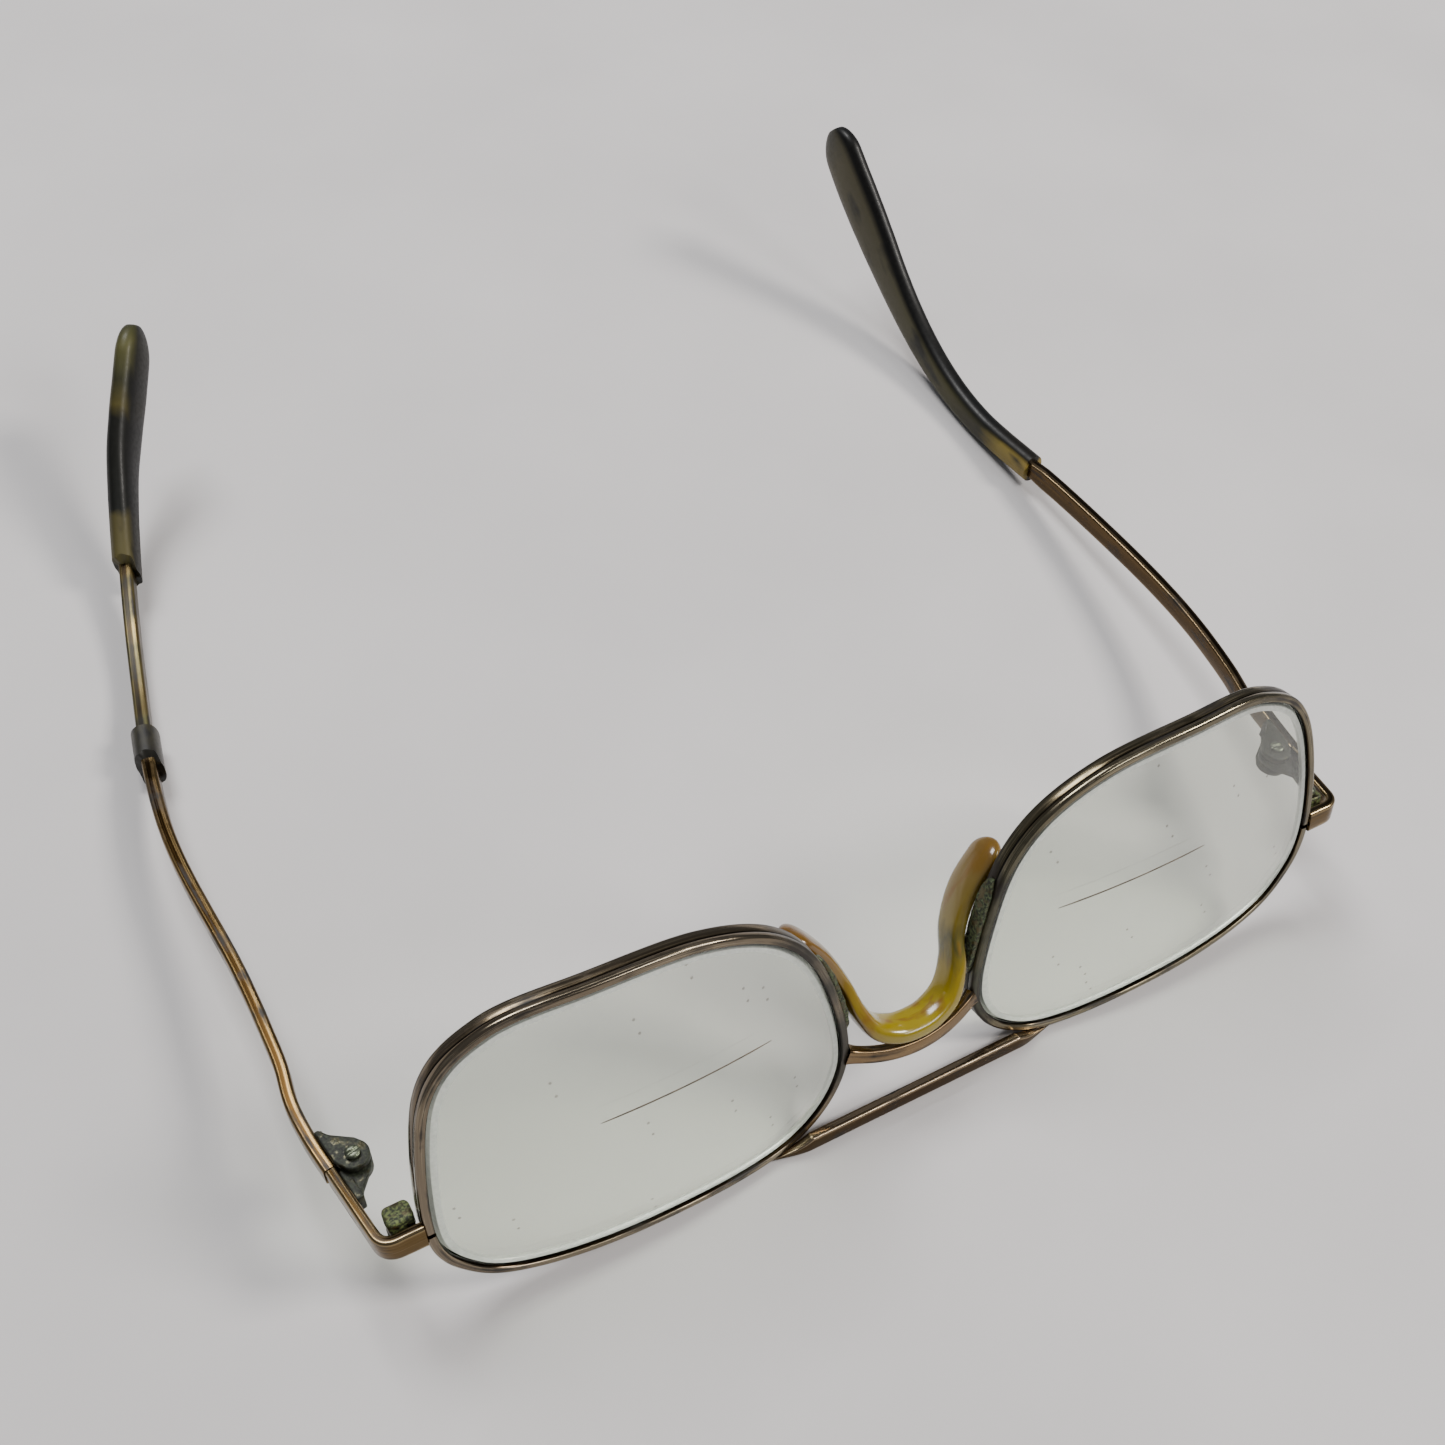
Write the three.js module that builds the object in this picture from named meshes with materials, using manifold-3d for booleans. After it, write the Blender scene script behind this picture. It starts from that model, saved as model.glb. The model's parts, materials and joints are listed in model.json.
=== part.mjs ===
// Metal eyeglasses with a brow bar, a one-piece saddle nose pad and hinged temples.
// Units are millimetres and +Z is up. The glasses lie as people put them down: upside down,
// on the brow bar and the bends of the temples, with the temples open and pointing along +Y.
import * as THREE from "three";
import { LoftGeometry } from "three/addons/geometries/LoftGeometry.js";
import { mergeVertices } from "three/addons/utils/BufferGeometryUtils.js";
import Module from "manifold-3d";

// Fits
const seat = 0.3; // clearance between pieces that are soldered, clipped or screwed together
const splitGap = 0.6; // saw cut that closes the rim round its lens

// Lenses and rims
const eyeWidth = 50.5; // across the groove that holds the lens
const eyeHeight = 38.9;
const noseWidth = 17.5; // between the two grooves
const faceCurve = 119; // radius that the front is bowed to
const wrapAngle = -1.2; // degrees that each lens plane turns towards the nose
const rimOut = 0.7; // from the groove's floor out to the rim's outer face
const rimLip = 0.4; // from the groove's floor in to the rim's lips
const rimDepth = 2.5; // front to back
const rimChamfer = 0.25;
const grooveMouth = 1.2;
const lensEdge = 1.8; // thickness at the shoulder
const lensCrown = 0.4; // how much thicker the middle is than the edge

// Bridge, brow bar and saddle
const bridgeHeight = 2.0;
const bridgeDepth = 1.3;
const bridgeDrop = -9.3; // height of its ends
const bridgeArch = 1.6; // how far the middle bows to the brow and to the front
const bridgeInset = -0.25; // how far its ends lie behind the rims' front faces
const barHeight = 2.0;
const barDepth = 1.3;
const barReach = 20.5; // half of its length
const barLap = 0.45; // how far it stands past the rims' brow sides
const barBack = 2.0;
const flangeWidth = 1.6;
const flangeThick = 0.4;
const flangeTop = 5.0; // heights that the flanges run between
const flangeFoot = -5.0;
const padDepth = 4.4; // the saddle, front to back
const padThick = 2.6; // at the arch
const legThick = 2.0;
const padReach = 9.0; // height that its legs reach
const padFlare = 8; // degrees that its legs open to the back
const padCrest = -8.4; // height of the arch over the nose
const padBack = 3.3;

// Endpieces and rim locks
const stripHeight = 3.0;
const stripThick = 1.2;
const stripRise = -5.0; // height where it leaves the rim
const cornerReach = 4.4; // rim to the middle of the corner
const cornerRadius = 1.8;
const lockLength = 3.0;
const lockDepth = 2.8;
const lockHeight = 2.2;
const lockScrewRadius = 0.6;
const lockHeadRadius = 1.0;

// Hinges
const endpieceLength = 11.4; // corner to the butt joint
const endpieceFlare = 9.5; // degrees
const endpieceRise = 7.5; // degrees
const templeRise = 12.0; // degrees between the temples and square to the front
const hingeOffset = 2.8; // strip middle to screw axis
const barrelRadius = 1.8;
const hingeScrewRadius = 0.65;
const hingeHeadRadius = 0.85;
const leafThick = 1.0;
const leafGap = 0.2;
const leafLength = 4.8;
const leafBack = 0.6; // the plate that is riveted to the strip
const buttGap = 0.35;

// Temples
const templeLength = 75.0; // hinge axis to the start of the ear bend
const templeHeight = 2.7; // at the hinge
const templeThick = 1.5;
const templeSwell = 1.2; // how much bigger the strip is at the ear
const coreHeight = 2.6;
const coreThick = 1.9;
const coreReach = 44; // length of core past the start of the ear bend
const earRadius = 50;
const earAngle = 49; // degrees
const earTail = 21; // straight length past the bend
const sleeveLength = 8; // tip length ahead of the bend
const sleeveHeight = 4.6;
const sleeveThick = 3.6;
const paddleHeight = 9.0;
const paddleThick = 3.8;
const collarLength = 6; // what is left at the front of the broken left tip
const brokenLength = 29; // bare core between that and the rest of the tip
// How far each temple is bent outwards, at even stations from the hinge to its end
const rightSet = [0, 1.2, -2.2, -8.0, -12.7, -18.0];
const leftSet = [0, -3.6, -6.3, -14.9, -26.6, -41.0];

// How the glasses lie
const faceTilt = 19.5; // degrees that the front leans back

const radians = THREE.MathUtils.degToRad;
const point = (x, y, z) => new THREE.Vector3(x, y, z);
const wasm = await Module();
wasm.setup();

// Solids and meshes

// A geometry with its shared corners merged and its collapsed triangles left out.
function welded(geometry) {
  const bare = new THREE.BufferGeometry();
  bare.setAttribute("position", geometry.attributes.position);
  bare.setIndex(geometry.index);
  const merged = mergeVertices(bare, 1e-4);
  const corners = merged.index.array;
  const kept = [];
  for (let i = 0; i < corners.length; i += 3) {
    const [a, b, c] = corners.slice(i, i + 3);
    if (a !== b && b !== c && a !== c) kept.push(a, b, c);
  }
  merged.setIndex(kept);
  merged.computeVertexNormals();
  return merged;
}

function solidOf(geometry) {
  const merged = welded(geometry);
  return new wasm.Manifold(
    new wasm.Mesh({
      numProp: 3,
      vertProperties: merged.attributes.position.array,
      triVerts: new Uint32Array(merged.index.array),
    }),
  );
}

function geometryOf(solid) {
  const mesh = solid.getMesh();
  const geometry = new THREE.BufferGeometry();
  geometry.setAttribute("position", new THREE.BufferAttribute(mesh.vertProperties, 3));
  geometry.setIndex(new THREE.BufferAttribute(mesh.triVerts, 1));
  geometry.computeVertexNormals();
  return geometry;
}

function cut(geometry, tools) {
  return geometryOf(tools.reduce((left, tool) => left.subtract(solidOf(tool)), solidOf(geometry)));
}

function join(geometries) {
  return geometryOf(geometries.map(solidOf).reduce((whole, piece) => whole.add(piece)));
}

// A closed skin through rings of points, turned round where the rings wind inwards. It is capped
// at both ends, or its first and last rings are each a single point.
function skin(rings, capped = true) {
  const options = { capStart: capped, capEnd: capped };
  const geometry = welded(new LoftGeometry(rings, options));
  if (signedVolume(geometry) > 0) return geometry;
  return welded(new LoftGeometry(rings.map((ring) => [...ring].reverse()), options));
}

function signedVolume(geometry) {
  const position = geometry.attributes.position;
  const corners = [point(), point(), point()];
  let sum = 0;
  for (let i = 0; i < geometry.index.count; i += 3) {
    corners.forEach((corner, j) => corner.fromBufferAttribute(position, geometry.index.getX(i + j)));
    sum += corners[0].dot(corners[1].clone().cross(corners[2]));
  }
  return sum / 6;
}

// A section carried along a curve. sectionAt gives its points as [across, up] at each fraction.
function sweep(curve, steps, sectionAt, upAt) {
  const rings = [];
  for (let i = 0; i <= steps; i++) {
    const t = i / steps;
    const middle = curve.getPointAt(t);
    const along = curve.getTangentAt(t);
    const across = along.clone().cross(upAt(t)).normalize();
    const up = across.clone().cross(along);
    rings.push(
      sectionAt(t).map(([a, b]) => middle.clone().addScaledVector(across, a).addScaledVector(up, b)),
    );
  }
  return skin(rings);
}

// A rectangle with its corners cut off.
function bevelled(width, height, bevel) {
  const x = width / 2;
  const y = height / 2;
  return [
    [x, bevel - y], [x, y - bevel], [x - bevel, y], [bevel - x, y],
    [-x, y - bevel], [-x, bevel - y], [bevel - x, -y], [x - bevel, -y],
  ];
}

function oval(width, height, sides) {
  return Array.from({ length: sides }, (_, i) => {
    const angle = (2 * Math.PI * (i + 0.5)) / sides;
    return [(width / 2) * Math.cos(angle), (height / 2) * Math.sin(angle)];
  });
}

function straight(from, to) {
  return new THREE.LineCurve3(from, to);
}

const upright = () => point(0, 0, 1);

// Finishes

function finish(color, roughness, metalness) {
  return () => new THREE.MeshStandardMaterial({ color, roughness, metalness });
}

const goldFilled = finish("#8a7560", 0.38, 1.0);
const tarnished = finish("#5c5a48", 0.6, 0.9);
const screwSteel = finish("#8f938c", 0.4, 1.0);
const amber = finish("#b8901c", 0.25, 0);
const oliveHorn = finish("#5a5a38", 0.3, 0);
const lensGlass = finish("#cfd6cc", 0.05, 0);

function part(group, name, geometry, material) {
  const mesh = new THREE.Mesh(geometry, material());
  mesh.name = name;
  group.add(mesh);
  return mesh;
}

// The lens outline, about the middle of the lens: first number out to the temple, second up.
// It starts at the endpiece and is drawn for a lens 50.8 by 39.2.
const drawn = { width: 50.8, height: 39.2 };
const outlinePoints = [
  [26.0, -5.5], [23.3, 12.2], [16.0, 18.8], [4.4, 19.5], [-8.2, 18.3], [-17.6, 13.5],
  [-22.7, 4.6], [-24.6, -10.6], [-17.1, -18.9], [0.3, -19.0], [15.0, -17.3], [22.6, -13.6],
];
const outline = new THREE.CatmullRomCurve3(
  outlinePoints.map(([out, up]) =>
    point((out * eyeWidth) / drawn.width, (up * eyeHeight) / drawn.height, 0),
  ),
  true,
  "catmullrom",
);
const lensMiddle = (eyeWidth + noseWidth) / 2;
const sides = { left: -1, right: 1 };

// How far the bowed front lies behind the lens centres.
function faceAt(out, up) {
  return out * Math.tan(radians(wrapAngle)) + (out * out + up * up) / (2 * faceCurve);
}

// A point near the rim: a fraction round the outline, a distance out from the groove and back.
function nearRim(side, fraction, outward, back) {
  const middle = outline.getPointAt(((fraction % 1) + 1) % 1);
  const along = outline.getTangentAt(((fraction % 1) + 1) % 1);
  const x = middle.x + along.y * outward;
  const z = middle.y - along.x * outward;
  return point(side * (lensMiddle + x), faceAt(middle.x, middle.y) + back, z);
}

// Where the groove's floor crosses a height on the nasal or the temple side.
function rimAt(height, nasal) {
  let best = { miss: Infinity };
  for (let i = 0; i < 2000; i++) {
    const at = outline.getPointAt(i / 2000);
    const miss = Math.abs(at.y - height);
    if (at.x < 0 === nasal && miss < best.miss) best = { miss, x: at.x, fraction: i / 2000 };
  }
  return best;
}

const rimSteps = 84;

function rimGeometry(side) {
  const waist = rimDepth / 2;
  const section = [
    [rimOut - rimChamfer, 0],
    [rimOut, rimChamfer],
    [rimOut, rimDepth - rimChamfer],
    [rimOut - rimChamfer, rimDepth],
    [rimChamfer - rimLip, rimDepth],
    [-rimLip, rimDepth - rimChamfer],
    [-rimLip, waist + grooveMouth / 2],
    [0, waist],
    [-rimLip, waist - grooveMouth / 2],
    [-rimLip, rimChamfer],
    [rimChamfer - rimLip, 0],
  ];
  const start = splitGap / 2 / outline.getLength();
  const rings = [];
  for (let i = 0; i <= rimSteps; i++) {
    const fraction = start + (i / rimSteps) * (1 - 2 * start);
    rings.push(section.map(([outward, back]) => nearRim(side, fraction, outward, back)));
  }
  return skin(rings);
}

// The lens: a bevelled edge that sits in the groove, between two bowed faces.
function lensGeometry(side) {
  const waist = rimDepth / 2;
  const bevel = rimLip + seat / 2;
  const shoulder = -seat - bevel;
  const reach = eyeWidth / 2;
  const columns = 72;
  const ring = (scale, outward, back, crown) =>
    Array.from({ length: columns }, (_, i) => {
      const edge = nearRim(side, i / columns, outward, 0);
      const out = (edge.x * side - lensMiddle) * scale;
      const up = edge.z * scale;
      const swell = crown * (1 - (out * out + up * up) / (reach * reach));
      return point(side * (lensMiddle + out), faceAt(out, up) + back + swell, up);
    });
  const scales = [0, 0.35, 0.7, 1];
  const front = scales.map((scale) => ring(scale, shoulder, waist - lensEdge / 2, 0));
  const back = scales.map((scale) => ring(scale, shoulder, waist + lensEdge / 2, lensCrown));
  return skin([...front, ring(1, -seat, waist, 0), ...back.reverse()], false);
}

// An upright prism through the rim's outline, used to cut what stops at the rim.
function rimPrism(side, clearance) {
  const shape = new THREE.Shape(
    Array.from({ length: rimSteps }, (_, i) => {
      const at = nearRim(side, i / rimSteps, rimOut + clearance, 0);
      return new THREE.Vector2(at.x, at.z);
    }),
  );
  const length = 60;
  return new THREE.ExtrudeGeometry(shape, { depth: length, bevelEnabled: false })
    .rotateX(Math.PI / 2)
    .translate(0, length / 2, 0);
}

// The lowest height of the rim's outer face on the brow side.
const browEdge = Math.min(
  ...Array.from({ length: rimSteps }, (_, i) => nearRim(1, i / rimSteps, rimOut, 0).z),
);

function browBarGeometry() {
  const height = browEdge - barLap + barHeight / 2;
  const back = barBack + barDepth / 2;
  const path = straight(point(-barReach, back, height), point(barReach, back, height));
  const bar = sweep(path, 1, () => bevelled(barDepth, barHeight, 0.25), upright);
  return cut(bar, [rimPrism(-1, seat), rimPrism(1, seat)]);
}

function bridgeGeometry() {
  const rimX = rimAt(bridgeDrop, true).x;
  const reach = lensMiddle + rimX;
  const back = faceAt(rimX, bridgeDrop) + bridgeInset + bridgeDepth / 2;
  const arch = [-1, -0.6, 0, 0.6, 1].map((share) => {
    const bow = bridgeArch * (1 - share * share);
    return point(share * reach, back - bow, bridgeDrop - bow);
  });
  const bar = sweep(
    new THREE.CatmullRomCurve3(arch),
    16,
    () => bevelled(bridgeDepth, bridgeHeight, 0.25),
    upright,
  );
  return cut(bar, [rimPrism(-1, seat), rimPrism(1, seat)]);
}

// The strip that is soldered along the nasal side of a rim and carries a leg of the saddle.
const flangeFrom = rimAt(flangeTop, true).fraction;
const flangeTo = rimAt(flangeFoot, true).fraction;

function flangeGeometry(side) {
  const inner = rimOut + seat;
  const rings = [];
  const steps = 14;
  for (let i = 0; i <= steps; i++) {
    const fraction = flangeFrom + ((flangeTo - flangeFrom) * i) / steps;
    const back = (rimDepth - flangeWidth) / 2;
    rings.push([
      nearRim(side, fraction, inner, back),
      nearRim(side, fraction, inner, back + flangeWidth),
      nearRim(side, fraction, inner + flangeThick, back + flangeWidth),
      nearRim(side, fraction, inner + flangeThick, back),
    ]);
  }
  return skin(rings);
}

// The saddle: one moulding that arches over the nose. Its legs pass beside the flanges and open
// out behind the rims. These are the points of its middle line on the right, from the leg's end.
const saddlePoints = [
  [13.9, 8.2, padReach], [12.0, 8.1, padReach - 1.4], [9.6, 7.9, 4.2], [7.8, 6.9, 0],
  [6.8, 5.2, -3.6], [5.2, 4.1, -6.6], [2.6, 3.5, padCrest + 0.3], [0, padBack, padCrest],
];

function saddleCurve() {
  const right = saddlePoints.map(([x, y, z]) => point(x, y, z));
  const left = right.slice(0, -1).map(({ x, y, z }) => point(-x, y, z));
  return new THREE.CatmullRomCurve3([...left, ...right.reverse()]);
}

function saddleGeometry() {
  const roundEnd = 0.1; // share of the half length that closes each leg
  const section = (t) => {
    const end = Math.abs(2 * t - 1);
    const into = Math.max(0, (end - 1 + roundEnd) / roundEnd);
    const close = Math.max(0.2, Math.sqrt(1 - into * into));
    const flare = radians(padFlare) * end;
    const thick = THREE.MathUtils.lerp(padThick, legThick, THREE.MathUtils.smoothstep(end, 0.15, 0.5));
    return oval(thick * close, padDepth * close, 12).map(([a, b]) => [
      a * Math.cos(flare) - b * Math.sin(flare),
      a * Math.sin(flare) + b * Math.cos(flare),
    ]);
  };
  return sweep(saddleCurve(), 48, section, () => point(0, 1, 0));
}

// Endpieces

// The hinge frame: its origin is on the screw axis, its z is that axis, its y runs to the butt.
const rimSide = lensMiddle + rimAt(stripRise, false).x + rimOut;
const rimSideBack = faceAt(rimAt(stripRise, false).x, stripRise);
const cornerX = rimSide + cornerReach;
const stripBack = rimSideBack + stripThick / 2 - 0.2;

function hingeFrame(side) {
  const frame = new THREE.Group();
  const flare = radians(endpieceFlare);
  frame.rotation.set(radians(templeRise), 0, -side * flare);
  const back = endpieceLength * Math.cos(flare);
  const butt = point(
    side * (cornerX + endpieceLength * Math.sin(flare)),
    stripBack + back * Math.cos(radians(endpieceRise)),
    stripRise + back * Math.sin(radians(endpieceRise)),
  );
  frame.position.copy(butt.sub(point(side * hingeOffset, 0, 0).applyEuler(frame.rotation)));
  return frame;
}

function endpieceGeometry(side) {
  const frame = hingeFrame(side);
  frame.updateMatrix();
  const inFrame = (x, y, z) => point(x, y, z).applyMatrix4(frame.matrix);
  const start = point(side * (rimSide + seat), stripBack, stripRise);
  const corner = point(side * cornerX, stripBack, stripRise);
  const butt = inFrame(side * hingeOffset, -buttGap / 2, 0);
  const inward = start.clone().sub(corner).normalize();
  const backward = butt.clone().sub(corner).normalize();
  const arc = [0, 0.25, 0.5, 0.75, 1].map((share) => {
    const into = inward.clone().multiplyScalar(cornerRadius * (1 - share) ** 2);
    return corner.clone().add(into).addScaledVector(backward, cornerRadius * share ** 2);
  });
  const path = new THREE.CurvePath();
  path.add(new THREE.LineCurve3(start, arc[0]));
  path.add(new THREE.QuadraticBezierCurve3(arc[0], corner, arc[4]));
  path.add(new THREE.LineCurve3(arc[4], butt));
  const axis = point(0, 0, 1).applyQuaternion(frame.quaternion);
  return sweep(
    path,
    24,
    () => bevelled(stripThick, stripHeight, 0.25),
    (t) => upright().lerp(axis, THREE.MathUtils.smoothstep(t, 0.1, 0.5)),
  );
}

// The two halves of the block that closes the rim, above and below its saw cut.
const lockBack = stripBack + stripThick / 2 + seat;
const lockX = rimSide + seat + lockLength / 2;

function lockGeometry(side, upper) {
  const height = lockHeight - splitGap / 2;
  const middle = stripRise + (upper ? 1 : -1) * (splitGap / 2 + height / 2);
  const block = bevelled(lockLength, lockDepth, 0.7);
  const path = straight(
    point(side * lockX, lockBack + lockDepth / 2, middle - height / 2),
    point(side * lockX, lockBack + lockDepth / 2, middle + height / 2),
  );
  const body = sweep(path, 1, () => block, () => point(0, 1, 0));
  const hole = new THREE.CylinderGeometry(lockScrewRadius + seat, lockScrewRadius + seat, 8, 20)
    .rotateX(Math.PI / 2)
    .translate(side * lockX, lockBack + lockDepth / 2, middle);
  return cut(body, [hole]);
}

// A screw whose head stands above its shank: a lathed profile from its tip to its slot.
function screwGeometry(shankRadius, headRadius, shankLength, headHeight, slotWidth) {
  const profile = [
    [0, -shankLength],
    [shankRadius * 0.75, -shankLength],
    [shankRadius, -shankLength + 0.25],
    [shankRadius, 0],
    [headRadius, 0],
    [headRadius, headHeight * 0.5],
    [headRadius * 0.7, headHeight * 0.9],
    [0, headHeight],
  ].map(([x, y]) => new THREE.Vector2(x, y));
  const screw = new THREE.LatheGeometry(profile, 20).rotateX(Math.PI / 2);
  const slot = new THREE.BoxGeometry(3 * headRadius, slotWidth, headHeight).translate(0, 0, headHeight);
  return cut(screw, [slot]);
}

// Hinges

// One flat leaf in plan: round about the screw, tapering along the strip that it is fixed to.
function leafPlate(along, bottom, thick) {
  const face = hingeOffset - stripThick / 2 - seat;
  const shape = new THREE.Shape();
  const turn = Math.PI / 2;
  shape.moveTo(face, along * 0.5);
  shape.lineTo(face, along * leafLength);
  shape.lineTo(face - leafBack, along * leafLength);
  shape.lineTo(-barrelRadius * 0.8, along * barrelRadius * 0.6);
  const start = Math.atan2(along * 0.6, -0.8);
  shape.absarc(0, 0, barrelRadius, start, -along * turn * 0.35, along < 0);
  shape.closePath();
  const options = { depth: thick, bevelEnabled: false, curveSegments: 16 };
  return new THREE.ExtrudeGeometry(shape, options).translate(0, 0, bottom);
}

function leafGeometry(along, levels, backing) {
  const face = hingeOffset - stripThick / 2 - seat;
  const plates = levels.map(([bottom, thick]) => leafPlate(along, bottom, thick));
  const back = new THREE.BoxGeometry(leafBack, leafLength - backing, stripHeight - 0.4).translate(
    face - leafBack / 2,
    (along * (leafLength + backing)) / 2,
    0,
  );
  const bore = hingeScrewRadius + leafGap;
  const hole = new THREE.CylinderGeometry(bore, bore, 12, 20).rotateX(Math.PI / 2);
  return cut(join([...plates, back]), [hole]);
}

// Temples

// The temple's middle line in the temple's own frame, for the right side; the left is mirrored.
// Seen from the side it is a straight run, an arc and a straight tail. Seen from above it bends
// smoothly through the sideways set.
const earLength = earRadius * radians(earAngle);
const templeEnd = templeLength + earLength + earTail;

function templePath(set) {
  const sideways = new THREE.SplineCurve(
    set.map((out, i) => new THREE.Vector2((templeEnd * i) / (set.length - 1), out)),
  );
  const points = Array.from({ length: 29 }, (_, i) => {
    const length = (templeEnd * i) / 28;
    const bent = Math.min(Math.max(length - templeLength, 0), earLength);
    const tail = Math.max(length - templeLength - earLength, 0);
    const angle = bent / earRadius;
    return point(
      hingeOffset + sideways.getPoint(i / 28).y * THREE.MathUtils.smoothstep(length, leafLength, 16),
      Math.min(length, templeLength) + earRadius * Math.sin(angle) + tail * Math.cos(angle),
      earRadius * (1 - Math.cos(angle)) + tail * Math.sin(angle),
    );
  });
  points[0].y += buttGap / 2;
  return new THREE.CatmullRomCurve3(points);
}

// The stretch of a curve between two lengths along it.
function stretch(curve, from, to, steps) {
  const whole = curve.getLength();
  return new THREE.CatmullRomCurve3(
    Array.from({ length: steps + 1 }, (_, i) =>
      curve.getPointAt((from + ((to - from) * i) / steps) / whole),
    ),
  );
}

const earStart = templeLength - sleeveLength;

function stripGeometry(set) {
  const curve = templePath(set);
  const taper = 3;
  const end = templeLength + coreReach;
  const lengths = [
    ...Array.from({ length: 19 }, (_, i) => ((earStart - taper) * i) / 18),
    ...Array.from({ length: 31 }, (_, i) => earStart + ((end - earStart) * i) / 30),
  ];
  const whole = curve.getLength();
  const rings = lengths.map((length) => {
    const strip = length <= earStart - taper;
    const swell = 1 + ((templeSwell - 1) * length) / earStart;
    const section = strip
      ? bevelled(templeThick * swell, templeHeight * swell, 0.3)
      : bevelled(coreThick, coreHeight, 0.3);
    const middle = curve.getPointAt(length / whole);
    const along = curve.getTangentAt(length / whole);
    const across = along.clone().cross(point(0, 0, 1)).normalize();
    const up = across.clone().cross(along);
    return section.map(([a, b]) => middle.clone().addScaledVector(across, a).addScaledVector(up, b));
  });
  return skin(rings);
}

function tipSection(length) {
  const share = THREE.MathUtils.smoothstep(length, earStart, templeEnd - 8);
  const height = sleeveHeight + (paddleHeight - sleeveHeight) * share ** 1.6;
  const thick = sleeveThick + (paddleThick - sleeveThick) * share;
  const left = Math.max(0, templeEnd - length);
  const blunt = left < 5 ? Math.sqrt(Math.max(0.02, 1 - (1 - left / 5) ** 2)) : 1;
  return oval(thick * (0.4 + 0.6 * blunt), height * blunt, 14);
}

function tipGeometry(set, from, to, steps) {
  const curve = templePath(set);
  const whole = curve.getLength();
  const lengths = Array.from({ length: steps + 1 }, (_, i) => from + ((to - from) * i) / steps);
  const rings = lengths.map((length) => {
    const middle = curve.getPointAt(Math.min(1, length / whole));
    const along = curve.getTangentAt(Math.min(1, length / whole));
    const across = along.clone().cross(point(0, 0, 1)).normalize();
    const up = across.clone().cross(along);
    return tipSection(length).map(([a, b]) =>
      middle.clone().addScaledVector(across, a).addScaledVector(up, b),
    );
  });
  const channel = sweep(
    stretch(curve, from - 3, Math.min(to + 3, templeLength + coreReach + seat), 40),
    40,
    () => bevelled(coreThick + 2 * seat, coreHeight + 2 * seat, 0.2),
    upright,
  );
  return cut(skin(rings), [channel]);
}

// The assembly

const glasses = new THREE.Group();
const front = new THREE.Group();
front.rotation.x = -radians(faceTilt);
glasses.add(front);

part(front, "brow_bar", browBarGeometry(), goldFilled);
part(front, "bridge", bridgeGeometry(), goldFilled);
part(front, "nose_saddle", saddleGeometry(), amber);

for (const [name, side] of Object.entries(sides)) {
  part(front, name + "_rim", rimGeometry(side), goldFilled);
  part(front, name + "_lens", lensGeometry(side), lensGlass);
  part(front, name + "_saddle_flange", flangeGeometry(side), tarnished);
  part(front, name + "_endpiece", endpieceGeometry(side), goldFilled);
  part(front, name + "_rim_lock_upper", lockGeometry(side, true), tarnished);
  part(front, name + "_rim_lock_lower", lockGeometry(side, false), tarnished);

  const lockScrew = part(
    front,
    name + "_rim_lock_screw",
    screwGeometry(lockScrewRadius, lockHeadRadius, 2 * lockHeight - 0.4, 0.8, 0.3),
    screwSteel,
  );
  lockScrew.position.set(side * lockX, lockBack + lockDepth / 2, stripRise + side * (lockHeight + seat));
  if (side < 0) lockScrew.rotation.x = Math.PI;

  const hinge = hingeFrame(side);
  hinge.scale.x = side;
  front.add(hinge);
  const backing = barrelRadius + 0.4;
  const frontLevels = [[-leafThick / 2, leafThick]];
  part(hinge, name + "_front_leaf", leafGeometry(-1, frontLevels, backing), tarnished);

  const temple = new THREE.Group();
  const set = side > 0 ? rightSet : leftSet;
  hinge.add(temple);
  const outer = leafThick / 2 + leafGap;
  const templeLevels = [[outer, leafThick], [-outer - leafThick, leafThick]];
  part(temple, name + "_temple_leaf", leafGeometry(1, templeLevels, backing), tarnished);
  const screw = part(
    temple,
    name + "_hinge_screw",
    screwGeometry(hingeScrewRadius, hingeHeadRadius, 2 * (outer + leafThick + leafGap), 0.45, 0.3),
    screwSteel,
  );
  screw.position.z = outer + leafThick + leafGap;
  part(temple, name + "_temple", stripGeometry(set), goldFilled);
  const tipFrom = side > 0 ? earStart : earStart + collarLength + brokenLength;
  part(temple, name + "_temple_tip", tipGeometry(set, tipFrom, templeEnd, 30), oliveHorn);
  if (side < 0) {
    part(temple, "left_tip_collar", tipGeometry(set, earStart, earStart + collarLength, 4), oliveHorn);
  }
}

// The frame's origin is under the middle of the glasses, on the surface that they lie on.
glasses.updateMatrixWorld(true);
const box = new THREE.Box3().setFromObject(glasses, true);
const middle = box.getCenter(point());
front.position.set(-middle.x, -middle.y, -box.min.z);

export default glasses;
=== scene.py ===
"""Aged gold-filled eyeglasses that lie upside down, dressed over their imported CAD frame.

Shapes are worked out in millimetres in the frame of the front (x across the face, y back
towards the ears, z up) or of a hinge, then placed in the world and written out in metres.
"""

import json
import logging
from dataclasses import dataclass, field
from enum import Enum

import bpy
import numpy as np
from mathutils import Matrix


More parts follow.
